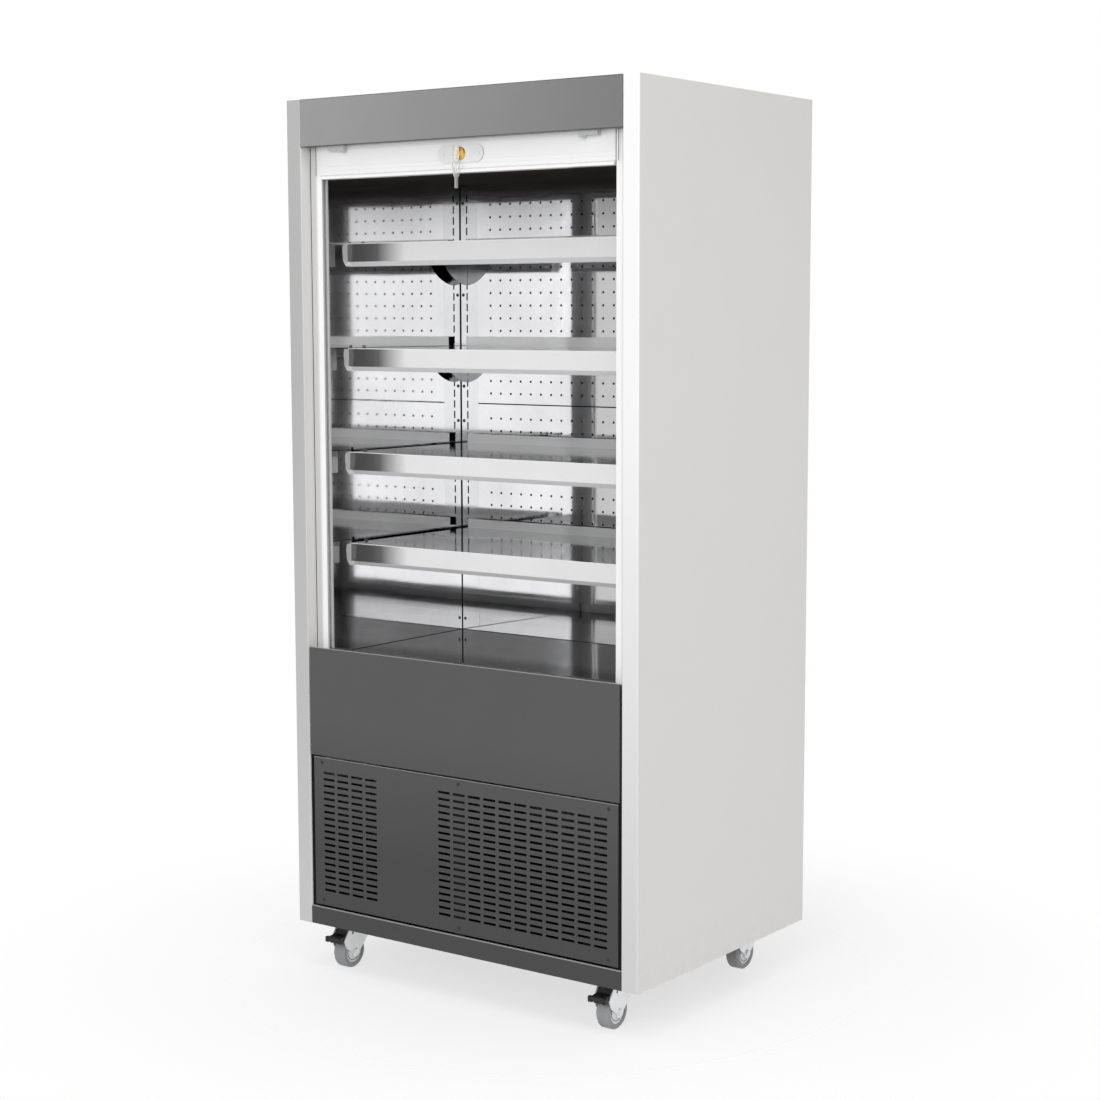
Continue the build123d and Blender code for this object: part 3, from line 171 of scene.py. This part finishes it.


# Node material: fine grain, slow tonal drift, smudges, dust that gathers low down, and painted light and shade
def look(
    name,
    base,
    rough,
    metallic=0.0,
    grain=(900, 900, 900),
    grain_bump=0.05,
    grain_rough=0.06,
    drift=0.06,
    smudge=0.08,
    dust=0.0,
    dust_top=0.30,
    spangle=0.0,
    wave=0.0,
    lean=0.0,
    coat=0.0,
    specular=0.5,
    painted_lights=(),
):
    material = bpy.data.materials.new(name)
    material.use_nodes = True
    material.node_tree.nodes.clear()
    made = Nodes(material.node_tree)
    out = made.add("ShaderNodeOutputMaterial")
    shader = made.add("ShaderNodeBsdfPrincipled")
    made.feed(out.inputs["Surface"], shader.outputs["BSDF"])
    place = made.add("ShaderNodeTexCoord").outputs
    stretched = made.add("ShaderNodeMapping", {"Vector": place["Object"], "Scale": grain}).outputs["Vector"]
    fine = made.noise(stretched, 1.0, 3.0)
    slow = made.noise(place["Object"], sheet_scale, 6.0, 0.65)
    axes = {measured: made.axes(place[measured]) for measured in ("Object", "Normal")}

    def amount_in(zones):
        total = None
        for measured, axis, start, full, middle in zones:
            value = axes[measured][axis]
            if middle is not None:
                value = made.maths("ABSOLUTE", made.maths("SUBTRACT", value, middle))
            share = made.spread(value, start, full)
            total = share if total is None else made.maths("MULTIPLY", total, share)
        return total

    colour = made.mix(made.spread(slow, 0.3, 0.7), scaled(base, 1 - drift), scaled(base, 1 + drift))
    fine_rough = made.spread(fine, 0.25, 0.75, rough - grain_rough, rough + grain_rough)
    rough_value = made.maths("ADD", fine_rough, made.spread(slow, 0.45, 0.75, 0.0, smudge))
    if spangle:
        cells = made.add("ShaderNodeTexVoronoi", {"Vector": place["Object"], "Scale": spangle_scale})
        split = made.add("ShaderNodeSeparateColor", {"Color": cells.outputs["Color"]}).outputs
        colour = made.mix(made.spread(split["Red"], 0, 1, 0, spangle), colour, scaled(base, spangle_share))
        rough_value = made.maths("ADD", rough_value, made.spread(split["Green"], 0, 1, -0.06, 0.10))
    if dust:
        low = made.spread(axes["Object"]["Z"], 0.0, dust_top, dust, 0.0)
        speck = made.noise(place["Object"], speck_scale, 8.0)
        settled = made.maths("MULTIPLY", low, made.spread(speck, 0.38, 0.68))
        colour = made.mix(settled, colour, dust_tone)
        rough_value = made.maths("ADD", rough_value, made.maths("MULTIPLY", settled, dust_rough))
    metal_value = metallic
    # Each painted light or shade blends the colour, and where given the metallic share, towards its tone
    for part in painted_lights:
        amount = amount_in(part["zones"])
        target = part["colour"]
        if isinstance(target, float):
            target = scaled(base, target)
        if part["above"]:
            target = made.mix(amount_in([upper_part]), target, part["above"])
        colour = made.mix(amount, colour, target)
        if part["metallic"] is not None:
            metal_value = made.spread(amount, 0.0, 1.0, metallic, part["metallic"])
    bump = made.add("ShaderNodeBump", {"Strength": grain_bump, "Distance": grain_depth, "Height": fine})
    normal = bump.outputs["Normal"]
    if wave:
        swell = made.noise(place["Object"], swell_scale, 1.0)
        settings = {"Strength": 1.0, "Distance": wave, "Height": swell, "Normal": normal}
        normal = made.add("ShaderNodeBump", settings).outputs["Normal"]
    if lean:
        tipped = made.add("ShaderNodeVectorMath", {0: normal, 1: (0.0, 0.0, lean)}, operation="ADD")
        levelled = made.add("ShaderNodeVectorMath", {0: tipped.outputs["Vector"]}, operation="NORMALIZE")
        normal = levelled.outputs["Vector"]
    settings = {
        "Base Color": colour,
        "Metallic": metal_value,
        "Roughness": rough_value,
        "Normal": normal,
        "Coat Weight": coat,
        "Coat Roughness": coat_rough,
        "Specular IOR Level": specular,
    }
    for key, value in settings.items():
        made.feed(shader.inputs[key], value)
    return material


# Settings that several looks share
white_paint = {
    "base": tone(229, 228, 226), "rough": 0.42, "drift": 0.012, "dust": 0.1, "dust_top": 0.22, "coat": 0.15,
}
white_bar = {
    "base": tone(254), "rough": 0.34, "metallic": 0.05, "grain_bump": 0.03, "drift": 0.012, "coat": 0.2,
}
mirror_sheet = {
    "base": tone(240, 240, 241), "rough": 0.04, "metallic": 1.0, "grain": (6, 6, 700),
    "grain_bump": 0.02, "grain_rough": 0.015, "smudge": 0.03, "wave": 0.0006,
}
along_bar = (5, 700, 700)
along_shelf = (6, 500, 500)
fine_grain = (1500, 1500, 1500)
finest_grain = (1800, 1800, 1800)
panel_tops = [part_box(name)[1].z for name in ("lower_front_panel", "grille_panel", "plinth")]
fascia_low, fascia_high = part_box("top_fascia")

looks = {
    "cheek_paint": look("cheek_paint", **white_paint),
    # The fascia is painted darker towards the right, with dark lines along its top and bottom edges: painted shade
    "fascia_paint": look(
        "fascia_paint", tone(154), 0.40, drift=0.03, coat=0.15,
        painted_lights=[painted_light(0.58, right_part)] + [painted_light(tone(60), edge_line(v.z)) for v in (fascia_low, fascia_high)],
    ),
    # Painted shade darkens the panels towards the bottom, the rear faces are painted light, and light lines along
    # the panels' top edges are painted highlights
    "panel_paint": look(
        "panel_paint", tone(82, 82, 83), 0.38, drift=0.03, dust=0.12, dust_top=0.4, coat=0.2,
        painted_lights=[painted_light(0.54, low_part), painted_light(tone(240), rear_faces)]
        + [painted_light(tone(168), edge_line(height)) for height in panel_tops],
    ),
    "liner_steel": look("liner_steel", **mirror_sheet),
    # The shelves' front-facing faces are painted near white and less metallic: painted light
    "shelf_steel": look(
        "shelf_steel", tone(208, 209, 210), 0.07, 1.0,
        grain=along_shelf, grain_bump=0.04, grain_rough=0.03, smudge=0.05,
        painted_lights=[painted_light(tone(248), front_faces, metallic=0.15)],
    ),
    "zinc_steel": look(
        "zinc_steel", tone(240, 241, 242), 0.34, 0.6, grain=(260, 260, 260), dust=0.2, dust_top=0.12,
    ),
    "galvanised": look("galvanised", tone(176, 180, 183), 0.38, 1.0, spangle=0.55, dust=0.3),
    "anodised": look("anodised", grain=along_bar, **white_bar),
    "coil": look("coil", tone(178, 180, 182), 0.35, 1.0, dust=0.5, dust_top=0.6),
    "compressor_paint": look("compressor_paint", tone(46, 46, 48), 0.30, coat=0.4, dust=0.6, dust_top=0.5),
    "screw_steel": look("screw_steel", tone(205, 204, 200), 0.24, 1.0, grain=fine_grain),
    "brass": look("brass", tone(206, 172, 104), 0.26, 1.0, grain=finest_grain, drift=0.12),
    "key_nickel": look("key_nickel", tone(242, 241, 238), 0.26, 0.6, grain=finest_grain, drift=0.10),
    "black_plastic": look(
        "black_plastic", tone(24, 24, 25), 0.42,
        grain=(1400, 1400, 1400), grain_bump=0.2, dust=0.12, dust_top=0.16,
    ),
    "grey_plastic": look("grey_plastic", tone(194, 195, 196), 0.32),
    "hub_plastic": look("hub_plastic", tone(240, 241, 242), 0.36, dust=0.25, dust_top=0.12),
    "tyre_rubber": look(
        "tyre_rubber", tone(152, 153, 155), 0.58,
        grain=(700, 700, 700), grain_bump=0.25, dust=0.3, dust_top=0.05,
    ),
}
# Near black, for dark joint lines and for the painted shade in the gaps at the rail's ends and in the screws'
# cross recesses
dark_void = look("dark_void", tone(20, 20, 21), 0.8)
dark_zinc = look("dark_zinc", tone(74, 74, 76), 0.34, 0.6, grain=fine_grain)
# The rail's rear faces are painted almost black, and its other faces apart from the front darker: painted shade
shutter_finish_painted_shade = look(
    "shutter_finish_painted_shade", grain=along_bar, painted_lights=[painted_light(0.04, rear_faces), painted_light(0.72, other_than_front)],
    **white_bar,
)
# Faces other than the front are painted darker, and the outer edge of the front grey: painted shade
guide_finish_painted_shade = look(
    "guide_finish_painted_shade", grain=(700, 700, 5), painted_lights=[painted_light(0.72, other_than_front), painted_light(tone(208), outer_web)],
    **white_bar,
)
# The plate's faces other than the front are painted much darker: painted shade that outlines it
plate_finish_painted_shade = look(
    "plate_finish_painted_shade", tone(242, 242, 243), 0.30, 0.1,
    grain=(5, 900, 900), grain_bump=0.03, drift=0.012, painted_lights=[painted_light(0.35, other_than_front)],
)
upright_finish = look(
    "upright_finish", tone(234, 235, 236), 0.06, 1.0,
    grain=(6, 6, 700), grain_bump=0.02, grain_rough=0.02, smudge=0.03,
)
# The lower wall's look leans by under a degree, to mirror the dark band where the photo has it
lower_wall_finish = look("lower_wall_finish", lean=0.0125, **mirror_sheet)
# The condenser and its shroud are painted near black: painted shade behind the grille's slots
coil_painted_shade = look("coil_painted_shade", tone(22, 22, 23), 0.6, dust=0.06, dust_top=0.5, specular=0.15)
ceiling_finish = look(
    "ceiling_finish", tone(102, 98, 96), 0.42, grain=along_shelf, grain_bump=0.04, specular=0.0,
)
# The deck is painted darker towards the sill, so its reflection in the back wall shows a dark band: painted shade
deck_finish_painted_shade = look(
    "deck_finish_painted_shade", tone(232, 232, 233), 0.05, 1.0,
    grain=(6, 500, 6), grain_bump=0.02, grain_rough=0.015, smudge=0.03, wave=0.0004,
    painted_lights=[painted_light(0.30, near_sill)],
)
# The front faces are painted almost black at the left end, a painted reflection of dark surroundings; the lip's
# downward faces are painted near white and not metallic, a painted highlight
price_rail_finish_painted_light = look(
    "price_rail_finish_painted_light", tone(254), 0.15, 0.42,
    grain=along_shelf, grain_bump=0.05, grain_rough=0.05, smudge=0.06,
    painted_lights=[painted_light(0.14, left_end, flat_front_faces), painted_light(tone(250), lower_faces, metallic=0.0)],
)
# The cheeks' front faces are painted light and shade: the left one darker, and darker still towards the top; the
# right one from a little darker low down to lighter towards the top
left_cheek_painted_light = look(
    "left_cheek_painted_light", painted_lights=[painted_light(tone(204), front_faces, above=tone(184))], **white_paint,
)
right_cheek_painted_light = look(
    "right_cheek_painted_light", painted_lights=[painted_light(tone(212), front_faces, above=tone(244))], **white_paint,
)
bracket_finish = look(
    "bracket_finish", tone(150, 151, 152), 0.12, 1.0,
    grain=(500, 6, 500), grain_bump=0.04, grain_rough=0.03, smudge=0.05,
)
# The base frame is painted near black: painted shade seen through the grille's slots and side gaps
chassis_painted_shade = look("chassis_painted_shade", tone(14), 0.6, dust=0.04, dust_top=0.5, specular=0.15)
# The slats' rear faces are painted almost black: painted shade
slat_finish_painted_shade = look(
    "slat_finish_painted_shade", tone(224, 224, 225), 0.36, 0.2,
    grain=along_bar, grain_bump=0.03, drift=0.012, painted_lights=[painted_light(0.06, rear_faces)],
)

for entry in frame["record"]["subparts"]:
    piece = nodes[entry["node"]]
    piece.data.materials.clear()
    piece.data.materials.append(looks[entry["material_slot"]])

own_finish_and_painted_light = {
    "shutter_rail": shutter_finish_painted_shade,
    "liner_ceiling": ceiling_finish,
    "shelf_fronts": price_rail_finish_painted_light,
    "side_panel_left": left_cheek_painted_light,
    "side_panel_right": right_cheek_painted_light,
    "deck_pan": deck_finish_painted_shade,
    "lock_plate": plate_finish_painted_shade,
    "shutter_guides": guide_finish_painted_shade,
    "rack_uprights": upright_finish,
    "shelf_brackets": bracket_finish,
    "back_panel_lower": lower_wall_finish,
    "base_frame": chassis_painted_shade,
    "condenser": coil_painted_shade,
    "condenser_shroud": coil_painted_shade,
}
for name, surface_look in own_finish_and_painted_light.items():
    nodes[name].data.materials[0] = surface_look

# Fine bevels catch the light on folded sheets and bars
fold_angle = math.radians(35)
bevelled = {
    "side_panel_left": 0.0012, "side_panel_right": 0.0012, "top_fascia": 0.0006, "lower_front_panel": 0.0010,
    "plinth": 0.0010, "shelf_fronts": 0.0005, "shelf_1": 0.0004, "shelf_2": 0.0004, "shelf_3": 0.0004,
    "shelf_4": 0.0004, "shutter_guides": 0.0004, "shutter_rail": 0.0006, "lock_plate": 0.0004,
    "shelf_brackets": 0.0003, "shutter_stops": 0.0012, "caster_plates": 0.0006,
    "brake_pedal_front_left": 0.0012, "brake_pedal_front_right": 0.0012,
}
for name, width in bevelled.items():
    edge = nodes[name].modifiers.new("edge", "BEVEL")
    edge.width = width
    edge.segments = 2
    edge.limit_method = "ANGLE"
    edge.angle_limit = fold_angle


def new_object(name, data):
    obj = bpy.data.objects.new(name, data)
    bpy.context.scene.collection.objects.link(obj)
    return obj


# A new piece in the look of its slot, or in a look of its own
def add_piece(name, mesh, slot_name, body, *replaced, surface_look=None):
    obj = new_object(name, mesh)
    mesh.materials.append(surface_look or looks[slot_name])
    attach(obj, body)
    if replaced:
        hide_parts(*replaced)
    return obj


def mesh_from(name, bm, smooth=True):
    mesh = bpy.data.meshes.new(name)
    bmesh.ops.recalc_face_normals(bm, faces=bm.faces[:])
    bm.to_mesh(mesh)
    bm.free()
    if smooth:
        for polygon in mesh.polygons:
            polygon.use_smooth = True
        mesh.set_sharp_from_angle(angle=fold_angle)
    return mesh


# A turned form: profile of (radius, height) pairs about an axis, where the last pair may be the tip
def lathe(bm, profile, centre, axis, segments):
    axis = Vector(axis).normalized()
    side = axis.orthogonal().normalized()
    other = axis.cross(side)
    rings = []
    for radius, height in profile:
        middle = Vector(centre) + axis * height
        if radius == 0:
            rings.append([bm.verts.new(middle)])
            continue
        ring = []
        for k in range(segments):
            angle = 2 * math.pi * k / segments
            outward = side * math.cos(angle) + other * math.sin(angle)
            ring.append(bm.verts.new(middle + outward * radius))
        rings.append(ring)
    for a, b in zip(rings, rings[1:]):
        for k in range(segments):
            j = (k + 1) % segments
            if len(b) == 1:
                bm.faces.new((a[k], a[j], b[0]))
            else:
                bm.faces.new((a[k], a[j], b[j], b[k]))


# Perforated air panels: each face of the sheet is made cell by cell, and round holes join the two faces
pitch = 0.030
hole_radius = 0.0030
hole_sides = 12
first_column = -0.366
columns = 25
top_row = 1.752
rows_down = 26
seam_low = 1.2765
seam_high = 1.2775
margin_below = 0.018
margin_above = 0.010
cell_slack = 0.004
least_cell = 1e-4


def perforated_face(bm, cells, y, flip):
    made = {}
    rims = []

    def vertex(point):
        key = (round(point[0], 6), round(point[1], 6))
        if key not in made:
            made[key] = bm.verts.new((point[0], y, point[1]))
        return made[key]

    def add_face(points):
        face = [vertex(point) for point in points]
        bm.faces.new(face[::-1] if flip else face)

    for x0, x1, z0, z1, has_hole in cells:
        corners = [(x0, z0), (x1, z0), (x1, z1), (x0, z1)]
        if not has_hole:
            add_face(corners)
            continue
        middle_x = (x0 + x1) / 2
        middle_z = (z0 + z1) / 2
        ring = []
        for k in range(hole_sides):
            angle = 2 * math.pi * k / hole_sides - 3 * math.pi / 4
            ring.append((middle_x + hole_radius * math.cos(angle), middle_z + hole_radius * math.sin(angle)))
        quarter = hole_sides // 4
        for corner in range(4):
            arc = [ring[(corner * quarter + k) % hole_sides] for k in range(quarter + 1)]
            add_face([corners[corner], corners[(corner + 1) % 4]] + arc[::-1])
        rims.append([vertex(point) for point in ring])
    return rims


def is_hole_cell(x0, x1, z0, z1, rows):
    square = abs(x1 - x0 - pitch) < cell_slack and abs(z1 - z0 - pitch) < cell_slack
    return square and any(z0 < row < z1 for row in rows)


low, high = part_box("back_panels_air")
column_edges = [first_column - pitch / 2 + pitch * k for k in range(columns + 1)]
x_edges = [low.x] + [x for x in column_edges if low.x + least_cell < x < high.x - least_cell] + [high.x]
all_rows = [top_row - pitch * k for k in reversed(range(rows_down))]
panel_mesh = bmesh.new()
for z_low, z_high in ((low.z, seam_low), (seam_high, high.z)):
    rows = [z for z in all_rows if z_low + margin_below < z < z_high - margin_above]
    z_edges = [z_low, rows[0] - pitch / 2] + [z + pitch / 2 for z in rows]
    if z_high - z_edges[-1] > least_cell:
        z_edges.append(z_high)
    else:
        z_edges[-1] = z_high
    cells = []
    for x0, x1 in zip(x_edges, x_edges[1:]):
        for z0, z1 in zip(z_edges, z_edges[1:]):
            cells.append((x0, x1, z0, z1, is_hole_cell(x0, x1, z0, z1, rows)))
    front_rims = perforated_face(panel_mesh, cells, low.y, False)
    back_rims = perforated_face(panel_mesh, cells, high.y, True)
    for front, back in zip(front_rims, back_rims):
        for k in range(hole_sides):
            j = (k + 1) % hole_sides
            panel_mesh.faces.new((front[k], front[j], back[j], back[k]))
add_piece("air_panels", mesh_from("air_panels", panel_mesh), "liner_steel", "cabinet", "back_panels_air")


# A thin block between two corners, dark unless it is given another look
def thin_block(name, start, end, body="cabinet", slot_name="black_plastic", surface_look=dark_void):
    bm = bmesh.new()
    cube = bmesh.ops.create_cube(bm, size=1.0)
    centre = [(a + b) / 2 for a, b in zip(start, end)]
    widths = [abs(b - a) for a, b in zip(start, end)]
    for vertex in cube["verts"]:
        vertex.co = Vector([c + v * w for c, v, w in zip(centre, vertex.co, widths)])
    add_piece(name, mesh_from(name, bm, smooth=False), slot_name, body, surface_look=surface_look)


# Dark joint lines between the back panels, behind the deck, beside the guides and at the rail's ends; at the
# rail's ends they are painted shade of the gaps beside the guides
line_width = 0.0013
line_depth = 0.0006
rail_line_depth = 0.0003
skin = 0.0001
seam_half = 0.0014
rail_foot = 0.008
deck_front_edge = 0.02
deck_low, deck_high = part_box("deck_pan")
post_low, post_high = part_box("rack_uprights")
guide_low, guide_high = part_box("shutter_guides")
rail_low, rail_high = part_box("shutter_rail")
line_bottom = deck_high.z + skin
line_top = line_bottom + line_depth
joint_y = post_low.y - line_depth
seam_middle = (seam_low + seam_high) / 2
thin_block(
    "panel_joint",
    (low.x, low.y - line_depth, seam_middle - seam_half),
    (high.x, low.y, seam_middle + seam_half),
)
thin_block("deck_joint", (post_low.x, joint_y - line_width, line_bottom), (post_high.x, joint_y, line_top))
for side, sign in (("left", -1), ("right", 1)):
    thin_block(
        "guide_joint_" + side,
        (sign * guide_high.x, guide_low.y - line_depth, guide_low.z),
        (sign * (guide_high.x - line_width), guide_low.y - skin, guide_high.z),
    )
    thin_block(
        "rail_end_" + side,
        (sign * rail_high.x, rail_low.y - rail_line_depth, rail_low.z + rail_foot),
        (sign * (rail_high.x - line_width), rail_low.y - skin, rail_high.z),
        "shutter",
    )

# A thin mirror sheet covers the uprights' lowest slots, where the photo shows a plain corner
strip_top = 0.880
post_width = low.x - post_low.x
for side, strip_x in (("left", post_low.x), ("right", post_high.x - post_width)):
    thin_block(
        "post_strip_" + side,
        (strip_x, post_low.y - line_depth, deck_high.z),
        (strip_x + post_width, post_low.y - skin, strip_top),
        slot_name="liner_steel",
        surface_look=lower_wall_finish,
    )

# Joint lines in the corners and along the deck's sides
for side, corner_x, inward in (("left", post_low.x, line_width), ("right", post_high.x, -line_width)):
    thin_block(
        "corner_joint_" + side,
        (corner_x, joint_y - line_width, line_top),
        (corner_x + inward, joint_y, high.z),
    )
    thin_block(
        "deck_side_joint_" + side,
        (corner_x, deck_low.y + deck_front_edge, line_bottom),
        (corner_x + inward, joint_y - line_width, line_top),
    )

# Pan-head screws with a cross recess, set where the CAD screws are
head_radius = 0.004
head_height = 0.0016
head_sides = 20
head_profile = [(1.0, 0.0), (1.0, 0.35), (0.86, 0.78), (0.5, 0.98), (0.0, 1.0)]
cross_arm = head_radius * 0.55
cross_half_width = head_radius * 0.12
cross_height = head_height * 0.995 + 0.00002


def pan_head(bm, centre, axis):
    axis = Vector(axis)
    profile = [(radius * head_radius, height * head_height) for radius, height in head_profile]
    lathe(bm, profile, centre, axis, head_sides)
    side = axis.orthogonal().normalized()
    other = axis.cross(side)
    # The cross recess is a flat dark cross on the head: painted shade where the recess is
    top = Vector(centre) + axis * cross_height
    for long_way, short_way in ((side, other), (other, side)):
        along = long_way * cross_arm
        across = short_way * cross_half_width
        corners = [top + along + across, top - along + across, top - along - across, top + along - across]
        face = bm.faces.new([bm.verts.new(corner) for corner in corners])
        face.material_index = 1


def screw_set(name, spots, node_name):
    bm = bmesh.new()
    for spot in spots:
        pan_head(bm, spot, (0, -1, 0))
    mesh = mesh_from(name, bm)
    add_piece(name, mesh, "screw_steel", "cabinet", node_name, surface_look=dark_zinc)
    mesh.materials.append(dark_void)


grille_low, grille_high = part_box("grille_panel")
side_inset = 0.024
height_inset = 0.012
edge_x = grille_high.x - side_inset
grille_heights = (grille_low.z + height_inset, grille_high.z - height_inset)
grille_spots = [(x, grille_low.y, z) for x in (-edge_x, 0.0, edge_x) for z in grille_heights]
screw_set("grille_screw_heads", grille_spots, "grille_screws")
liner_screw_x = 0.4195
liner_heights = (0.747, 0.967, 1.234, 1.318, 1.538, 1.757)
liner_spots = [(x, post_low.y, z) for x in (-liner_screw_x, liner_screw_x) for z in liner_heights]
screw_set("liner_screw_heads", liner_spots, "liner_screws")

# Dark rings in the wheel hubs where the grooves are: painted shade in the grooves
groove_radius = 0.0190
groove_width = 0.0016
groove_height = 0.0003
groove_sides = 48
hub_recess = 0.0052
groove_profile = [
    (groove_radius, 0.0), (groove_radius, groove_height),
    (groove_radius + groove_width, groove_height), (groove_radius + groove_width, 0.0),
]
for place in ("front_left", "front_right", "rear_left", "rear_right"):
    hub_low, hub_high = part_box("hub_" + place)
    hub_y = (hub_low.y + hub_high.y) / 2
    hub_z = (hub_low.z + hub_high.z) / 2
    bm = bmesh.new()
    for plane_x, sign in ((hub_low.x + hub_recess, -1), (hub_high.x - hub_recess, 1)):
        lathe(bm, groove_profile, (plane_x, hub_y, hub_z), (sign, 0, 0), groove_sides)
    ring_mesh = mesh_from("hub_groove_" + place, bm)
    add_piece("hub_groove_" + place, ring_mesh, "black_plastic", "wheel_" + place)

# Curtain of slats. Each row is set so that the slats come out even when the shutter is down
curtain_low, curtain_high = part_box("shutter_curtain")
curtain_y = (curtain_low.y + curtain_high.y) / 2
travel = next(j for j in frame["joints"] if j["name"] == "shutter_slide")["range_m"][1]
rest_length = curtain_high.z - curtain_low.z
slats = 30
slat_profile = [
    (0.02, 0.0012), (0.10, -0.0034), (0.30, -0.0039), (0.55, -0.0040), (0.80, -0.0037), (0.92, -0.0030),
    (0.97, 0.0012),
]
slat_thickness = 0.0020
back_flatness = 0.45
back_limit = 0.0039
halvings = 50


def rest_height(share):
    wanted = share * (rest_length + travel)
    below = 0.0
    above = 1.0
    for _ in range(halvings):
        middle = (below + above) / 2
        reached = rest_length * middle + travel * middle * middle * (3 - 2 * middle)
        if reached < wanted:
            below = middle
        else:
            above = middle
    return curtain_high.z - rest_length * below


curtain_mesh = bmesh.new()
grid_front = []
grid_back = []
for slat in range(slats):
    for share, offset in slat_profile:
        z = rest_height((slat + share) / slats)
        y_front = curtain_y + offset
        y_back = curtain_y + min(back_limit, slat_thickness - offset * back_flatness)
        grid_front.append([curtain_mesh.verts.new((x, y_front, z)) for x in (curtain_low.x, curtain_high.x)])
        grid_back.append([curtain_mesh.verts.new((x, y_back, z)) for x in (curtain_low.x, curtain_high.x)])
for k in range(len(grid_front) - 1):
    a = grid_front[k]
    b = grid_front[k + 1]
    c = grid_back[k]
    d = grid_back[k + 1]
    curtain_mesh.faces.new((a[0], a[1], b[1], b[0]))
    curtain_mesh.faces.new((c[1], c[0], d[0], d[1]))
    curtain_mesh.faces.new((a[0], b[0], d[0], c[0]))
    curtain_mesh.faces.new((a[1], c[1], d[1], b[1]))
for front, back in ((grid_front[0], grid_back[0]), (grid_front[-1], grid_back[-1])):
    curtain_mesh.faces.new((front[0], back[0], back[1], front[1]))
curtain = new_object("curtain_slats", mesh_from("curtain_slats", curtain_mesh))
curtain.data.materials.append(slat_finish_painted_shade)
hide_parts("shutter_curtain")
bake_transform(curtain)

# The floor fades into the white surroundings away from the cabinet
reach = 14.0
fade_start = 0.45
fade_end = 1.5
fade_least = 0.68
floor_mesh = bpy.data.meshes.new("floor")
floor_corners = [(-reach, -reach, 0), (reach, -reach, 0), (reach, reach, 0), (-reach, reach, 0)]
floor_mesh.from_pydata(floor_corners, [], [(0, 1, 2, 3)])
floor = new_object("floor", floor_mesh)
floor_look = look("floor_look", (0.93, 0.93, 0.93, 1.0), 0.8, drift=0.01, smudge=0.0, grain_bump=0.0)
floor_mesh.materials.append(floor_look)
ground = Nodes(floor_look.node_tree)
floor_nodes = {n.bl_idname: n for n in floor_look.node_tree.nodes}
floor_place = floor_nodes["ShaderNodeTexCoord"].outputs["Object"]
floor_surface = floor_nodes["ShaderNodeBsdfPrincipled"].outputs["BSDF"]
away = ground.add("ShaderNodeVectorMath", operation="LENGTH")
ground.feed(away.inputs[0], floor_place)
fade = ground.spread(away.outputs["Value"], fade_start, fade_end, fade_least, 1.0, kind="SMOOTHSTEP")
clear = ground.add("ShaderNodeBsdfTransparent").outputs["BSDF"]
softened = ground.add("ShaderNodeMixShader", {"Fac": fade, 1: floor_surface, 2: clear}).outputs["Shader"]
ground.feed(floor_nodes["ShaderNodeOutputMaterial"].inputs["Surface"], softened)

# White surroundings: what the camera sees, what lights the cabinet, and what the steel mirrors
world = bpy.data.worlds.new("world")
bpy.context.scene.world = world
world.use_nodes = True
world.node_tree.nodes.clear()
sky = Nodes(world.node_tree)
ambient_strength = 0.62
below_horizon = 0.98
above_horizon = 0.16
strip_strength = 0.66
dim_side = 0.64
bright_side = 1.10


def glow(strength):
    settings = {"Color": (1, 1, 1, 1), "Strength": strength}
    return sky.add("ShaderNodeBackground", settings).outputs["Background"]


def pick(factor, when_off, when_on):
    return sky.add("ShaderNodeMixShader", {"Fac": factor, 1: when_off, 2: when_on}).outputs["Shader"]


sky_out = sky.add("ShaderNodeOutputWorld")
ray = sky.add("ShaderNodeLightPath").outputs
direction = sky.axes(sky.add("ShaderNodeTexCoord").outputs["Generated"])
height_level = sky.spread(direction["Z"], 0.015, 0.075, below_horizon, above_horizon, kind="SMOOTHSTEP")
# A strip light low over the horizon shows in the steel at the bottom of the cabinet
strip_lower = sky.spread(direction["Z"], 0.108, 0.117, 0.0, strip_strength, kind="SMOOTHSTEP")
strip_upper = sky.spread(direction["Z"], 0.134, 0.152, 1.0, 0.0, kind="SMOOTHSTEP")
sky_level = sky.maths("ADD", height_level, sky.maths("MULTIPLY", strip_lower, strip_upper))
# The side of the room to the customer's left is dimmer
room_side = sky.spread(direction["X"], -0.35, 0.1, dim_side, bright_side)
seen = glow(1.0)
shed = glow(ambient_strength)
mirrored = glow(sky.maths("MULTIPLY", sky_level, room_side))
either = pick(ray["Is Glossy Ray"], shed, mirrored)
behind = pick(ray["Is Transmission Ray"], either, mirrored)
sky.feed(sky_out.inputs["Surface"], pick(ray["Is Camera Ray"], behind, seen))

cabinet_middle = Vector((0, 0, 1.0))


def lamp(name, place, size, power):
    data = bpy.data.lights.new(name, "AREA")
    data.shape = "RECTANGLE"
    data.size = size[0]
    data.size_y = size[1]
    data.energy = power
    obj = new_object(name, data)
    obj.location = place
    obj.rotation_euler = (cabinet_middle - Vector(place)).to_track_quat("-Z", "Y").to_euler()


lamp("key_light", (1.6, -5.0, 2.6), (2.4, 2.4), 88)
lamp("side_light", (5.0, -1.6, 2.4), (2.4, 2.8), 30)
lamp("top_light", (0.2, -1.0, 4.8), (3.0, 3.0), 60)
